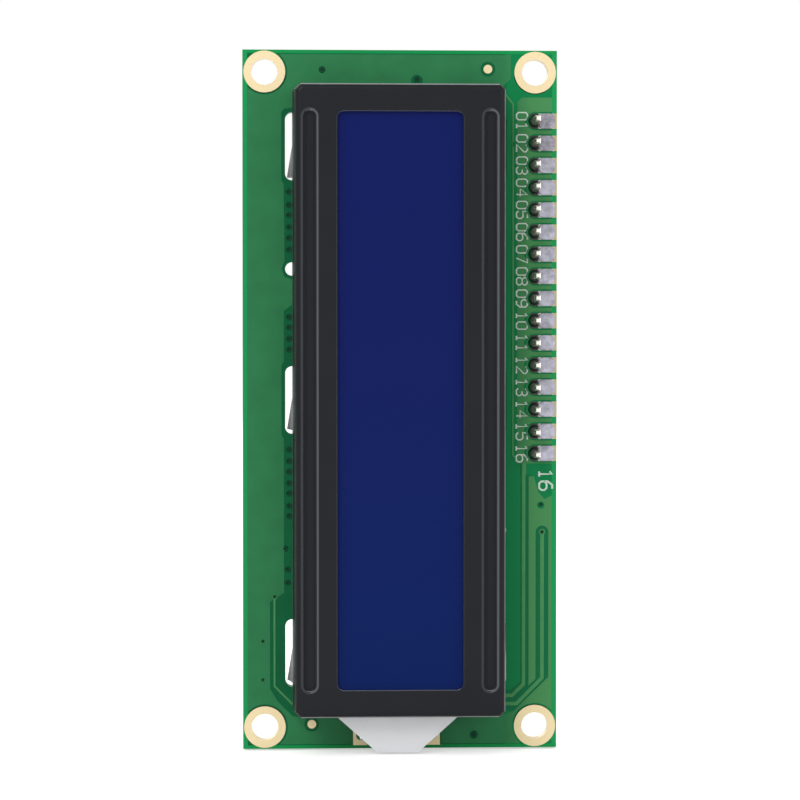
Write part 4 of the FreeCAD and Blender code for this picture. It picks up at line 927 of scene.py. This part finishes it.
chip_x = [7.55 + 1.27 * (i - 3.5) for i in range(8)]
upright = [(0.13, z) for z in (12.33, 7.865, 3.40)]
bank = [(4.86, z) for z in (4.49, 1.935, -0.62)] + [(9.79, 1.31)]
capacitor_place = (9.79, 3.95)
lamp_x, lamp_z = 4.56, -3.22
pads = [pill_of(x, z, 0.72, 1.7) for x in chip_x for z in (7.9, 18.2)]
pads += [box_of(x, z + side * 1.15, 1.3, 0.9) for x, z in upright for side in (-1, 1)]
pads += [box_of(x + side * 1.15, z, 0.9, 1.3) for x, z in bank + [capacitor_place] for side in (-1, 1)]
pads += [box_of(x, z, 1.0, 0.9) for z in (22.24, 24.67, 27.05) for x in (0.45, 1.95)]
pads += [box_of(lamp_x + side * 1.1, lamp_z, 0.9, 1.2) for side in (-1, 1)]
pads += [box_of(8.35, -2.24, 0.9, 0.7), box_of(10.75, -3.2, 0.9, 0.7), box_of(10.75, -1.28, 0.9, 0.7)]
adapter_pads = lay_sheet("adapter_pads", pads, TOP + 0.008, 0.03)
settle(adapter_pads, finish("pad_tinned", "a5a39c", 0.36, metal=0.6, mottle=0.12, patch=0.4, grain=0.01))

lines = [[(14.22, -7.35), (14.22, 33.19), (16.55, 33.19), (16.55, -7.35), (14.22, -7.35)],
         [(5.91, -7.5), (5.91, -4.97), (11.50, -4.97), (11.50, -7.5)],
         [(2.5, 9.10), (13.06, 9.10), (13.06, 17.01), (2.5, 17.01)],
         [(2.20, 33.4), (2.20, 30.9), (12.97, 30.9), (12.97, 33.4)],
         [(11.64, -3.76), (11.64, -0.98)], [(7.5, -3.7), (7.5, -2.8)], [(7.5, -1.7), (7.5, -0.9)],
         closed(pill_of(9.8, 3.95, 4.7, 2.3)), closed(pill_of(4.6, -3.22, 4.9, 2.3))]
lines += [closed(box_of(x, z, 2.3, 4.2)) for x, z in upright]
lines += [closed(box_of(x, z, 4.25, 2.3)) for x, z in bank]
lines += [closed(box_of(1.2, z, 2.9, 1.6)) for z in (22.24, 24.67, 27.05)]
adapter_lines = weld("adapter_lines", lay_track("adapter_lines", lines, 0.25, TOP, 0.03),
                     lay_track("trimmer_frame", [closed(box_of(8.81, 24.42, 7.72, 7.72))], 0.34, TOP, 0.03))
names = []
for text, x, z, high in (
    ("1", -1.0, 22.3, 1.3), ("2", -1.0, 24.7, 1.3), ("3", -1.0, 27.1, 1.3), ("04", 3.8, 29.5, 1.0),
    ("03", 6.35, 29.5, 1.0), ("02", 8.9, 29.5, 1.0), ("01", 11.45, 29.5, 1.0), ("+", 1.43, -4.1, 1.4),
    ("05", 12.9, -5.9, 1.0),
):
    names += write(text, x, z, high)
name_lines = lay_track("adapter_numbers", names, 0.24, TOP, 0.03)
adapter_ink = weld("adapter_ink", adapter_lines, name_lines)
settle(adapter_ink, finish("ink_bright", "e6e8e6", 0.6, shine=0.3, mottle=0.06, patch=0.4, grain=0.006,
                           grain_size=0.08))

# The joints of its pins are shaped by the iron, and painted dark as a painted reflection of the
# # dark room in front of them.
joint_dark_reflection = finish("joint_dark_reflection", "4b4b50", 0.22, metal=0.8, mottle=0.25, patch=0.4, grain=0.012,
                    grain_size=0.2)
dress(joint_dark_reflection, "adapter_solder", "underside_solder")


# The expander chip: a moulded black body with sixteen formed leads, each sitting in a bright
# puddle of solder on its pad.
chip_black = finish("chip_black", "222327", 0.58, shine=0.22, mottle=0.10, patch=2.5, grain=0.012,
                    grain_size=0.12)
wear_and_highlight_edges(chip_black, "505158", 0.08, 0.5)
dress(chip_black, "expander_chip", "transistor")
dress(tinned, "expander_leads", "transistor_leads")
chip_beads = solder_on("chip_beads", [(x, z) for x in chip_x for z in (7.3, 18.75)], 0.76, 1.3, 0.36, TOP)
settle(chip_beads, finish("solder_bright", "dcdce0", 0.34, metal=0.6, mottle=0.10, patch=0.4, grain=0.012,
                          grain_size=0.2))
adapter_beads = weld("adapter_beads", *[solder_on("foot_beads", *facts, TOP) for facts in (
    ([(x, z + side * 1.12) for x, z in upright for side in (-1, 1)], 1.2, 0.62, 0.36),
    ([(x + side * 1.12, z) for x, z in bank + [capacitor_place] for side in (-1, 1)], 0.62, 1.2, 0.36),
    ([(8.1, -2.24), (10.95, -3.2), (10.95, -1.28)], 0.7, 0.62, 0.24),
    ([(lamp_x + side * 1.12, lamp_z) for side in (-1, 1)], 0.6, 1.15, 0.3),
)])
settle(adapter_beads, solder_grey)


# The power lamp and the ceramic capacitor: a pale base with a milky lens that has a green
# cast in the middle, and a tan block between tinned ends.
lens_milky = finish("lens_milky", "cfe3d4", 0.22, mottle=0.05, patch=0.5)
tint_where(both(along(lens_milky, "X", 4.35, 4.5), along(lens_milky, "X", 4.95, 4.8)), "5fbf8c", 0.6)
dress(lens_milky, "power_lamp_lens")
dress(lamp_white, "power_lamp_base")
ceramic_tan = finish("ceramic_tan", "b89468", 0.4, mottle=0.10, patch=0.6, grain=0.004, grain_size=0.1)
dress(ceramic_tan, "capacitor")


# The trimmer: a blue moulded housing with an engraved dial round a plated metal rotor that
# turns with a screwdriver.
trimmer_blue = finish("trimmer_blue", "1454a4", 0.42, shine=0.12, mottle=0.06, grain=0.006)
wear_and_highlight_edges(trimmer_blue, "6f9be0", 0.08, 0.6)
# Painted shade inside the engraved ring and ticks of the dial.
tint_where(both(along(trimmer_blue, "Y", 10.585, 10.50), along(trimmer_blue, "Y", 10.3, 10.4)),
           "062f70", 0.95)
dress(trimmer_blue, "trimmer_body")
rotor_metal = finish("rotor_metal", "a8a9ab", 0.38, metal=0.85, mottle=0.12, patch=0.8, grain=0.006,
                     grain_size=0.1)
wear_and_highlight_edges(rotor_metal, "e8e8ea", 0.08, 0.6)
# Painted shade: the rotor is darker low down, in its slot and below the housing's face.
tint_where(along(rotor_metal, "Y", 10.4, 10.1), "343436", 0.8)
dress(rotor_metal, "trimmer_rotor")
dress(tinned, "trimmer_pins")


# Two headers of tinned square wire, bent over the board's end and set in black strips, and the
# jumper: a moulded cap whose folded contact bridges the two pins of the smaller header.
bright_pin = finish("bright_pin", "d3cebf", 0.24, metal=0.85, mottle=0.06, patch=1.0, grain=0.003,
                    grain_size=0.1)
dress(bright_pin, "serial_pins", "jumper_pins")
cap_black = finish("cap_black", "26272b", 0.46, shine=0.25, patch=1.5, grain=0.008)
wear_and_highlight_edges(cap_black, "6a6b70", 0.09, 0.6)
dress(cap_black, "jumper_cap")
dress(bright_pin, "jumper_contact")
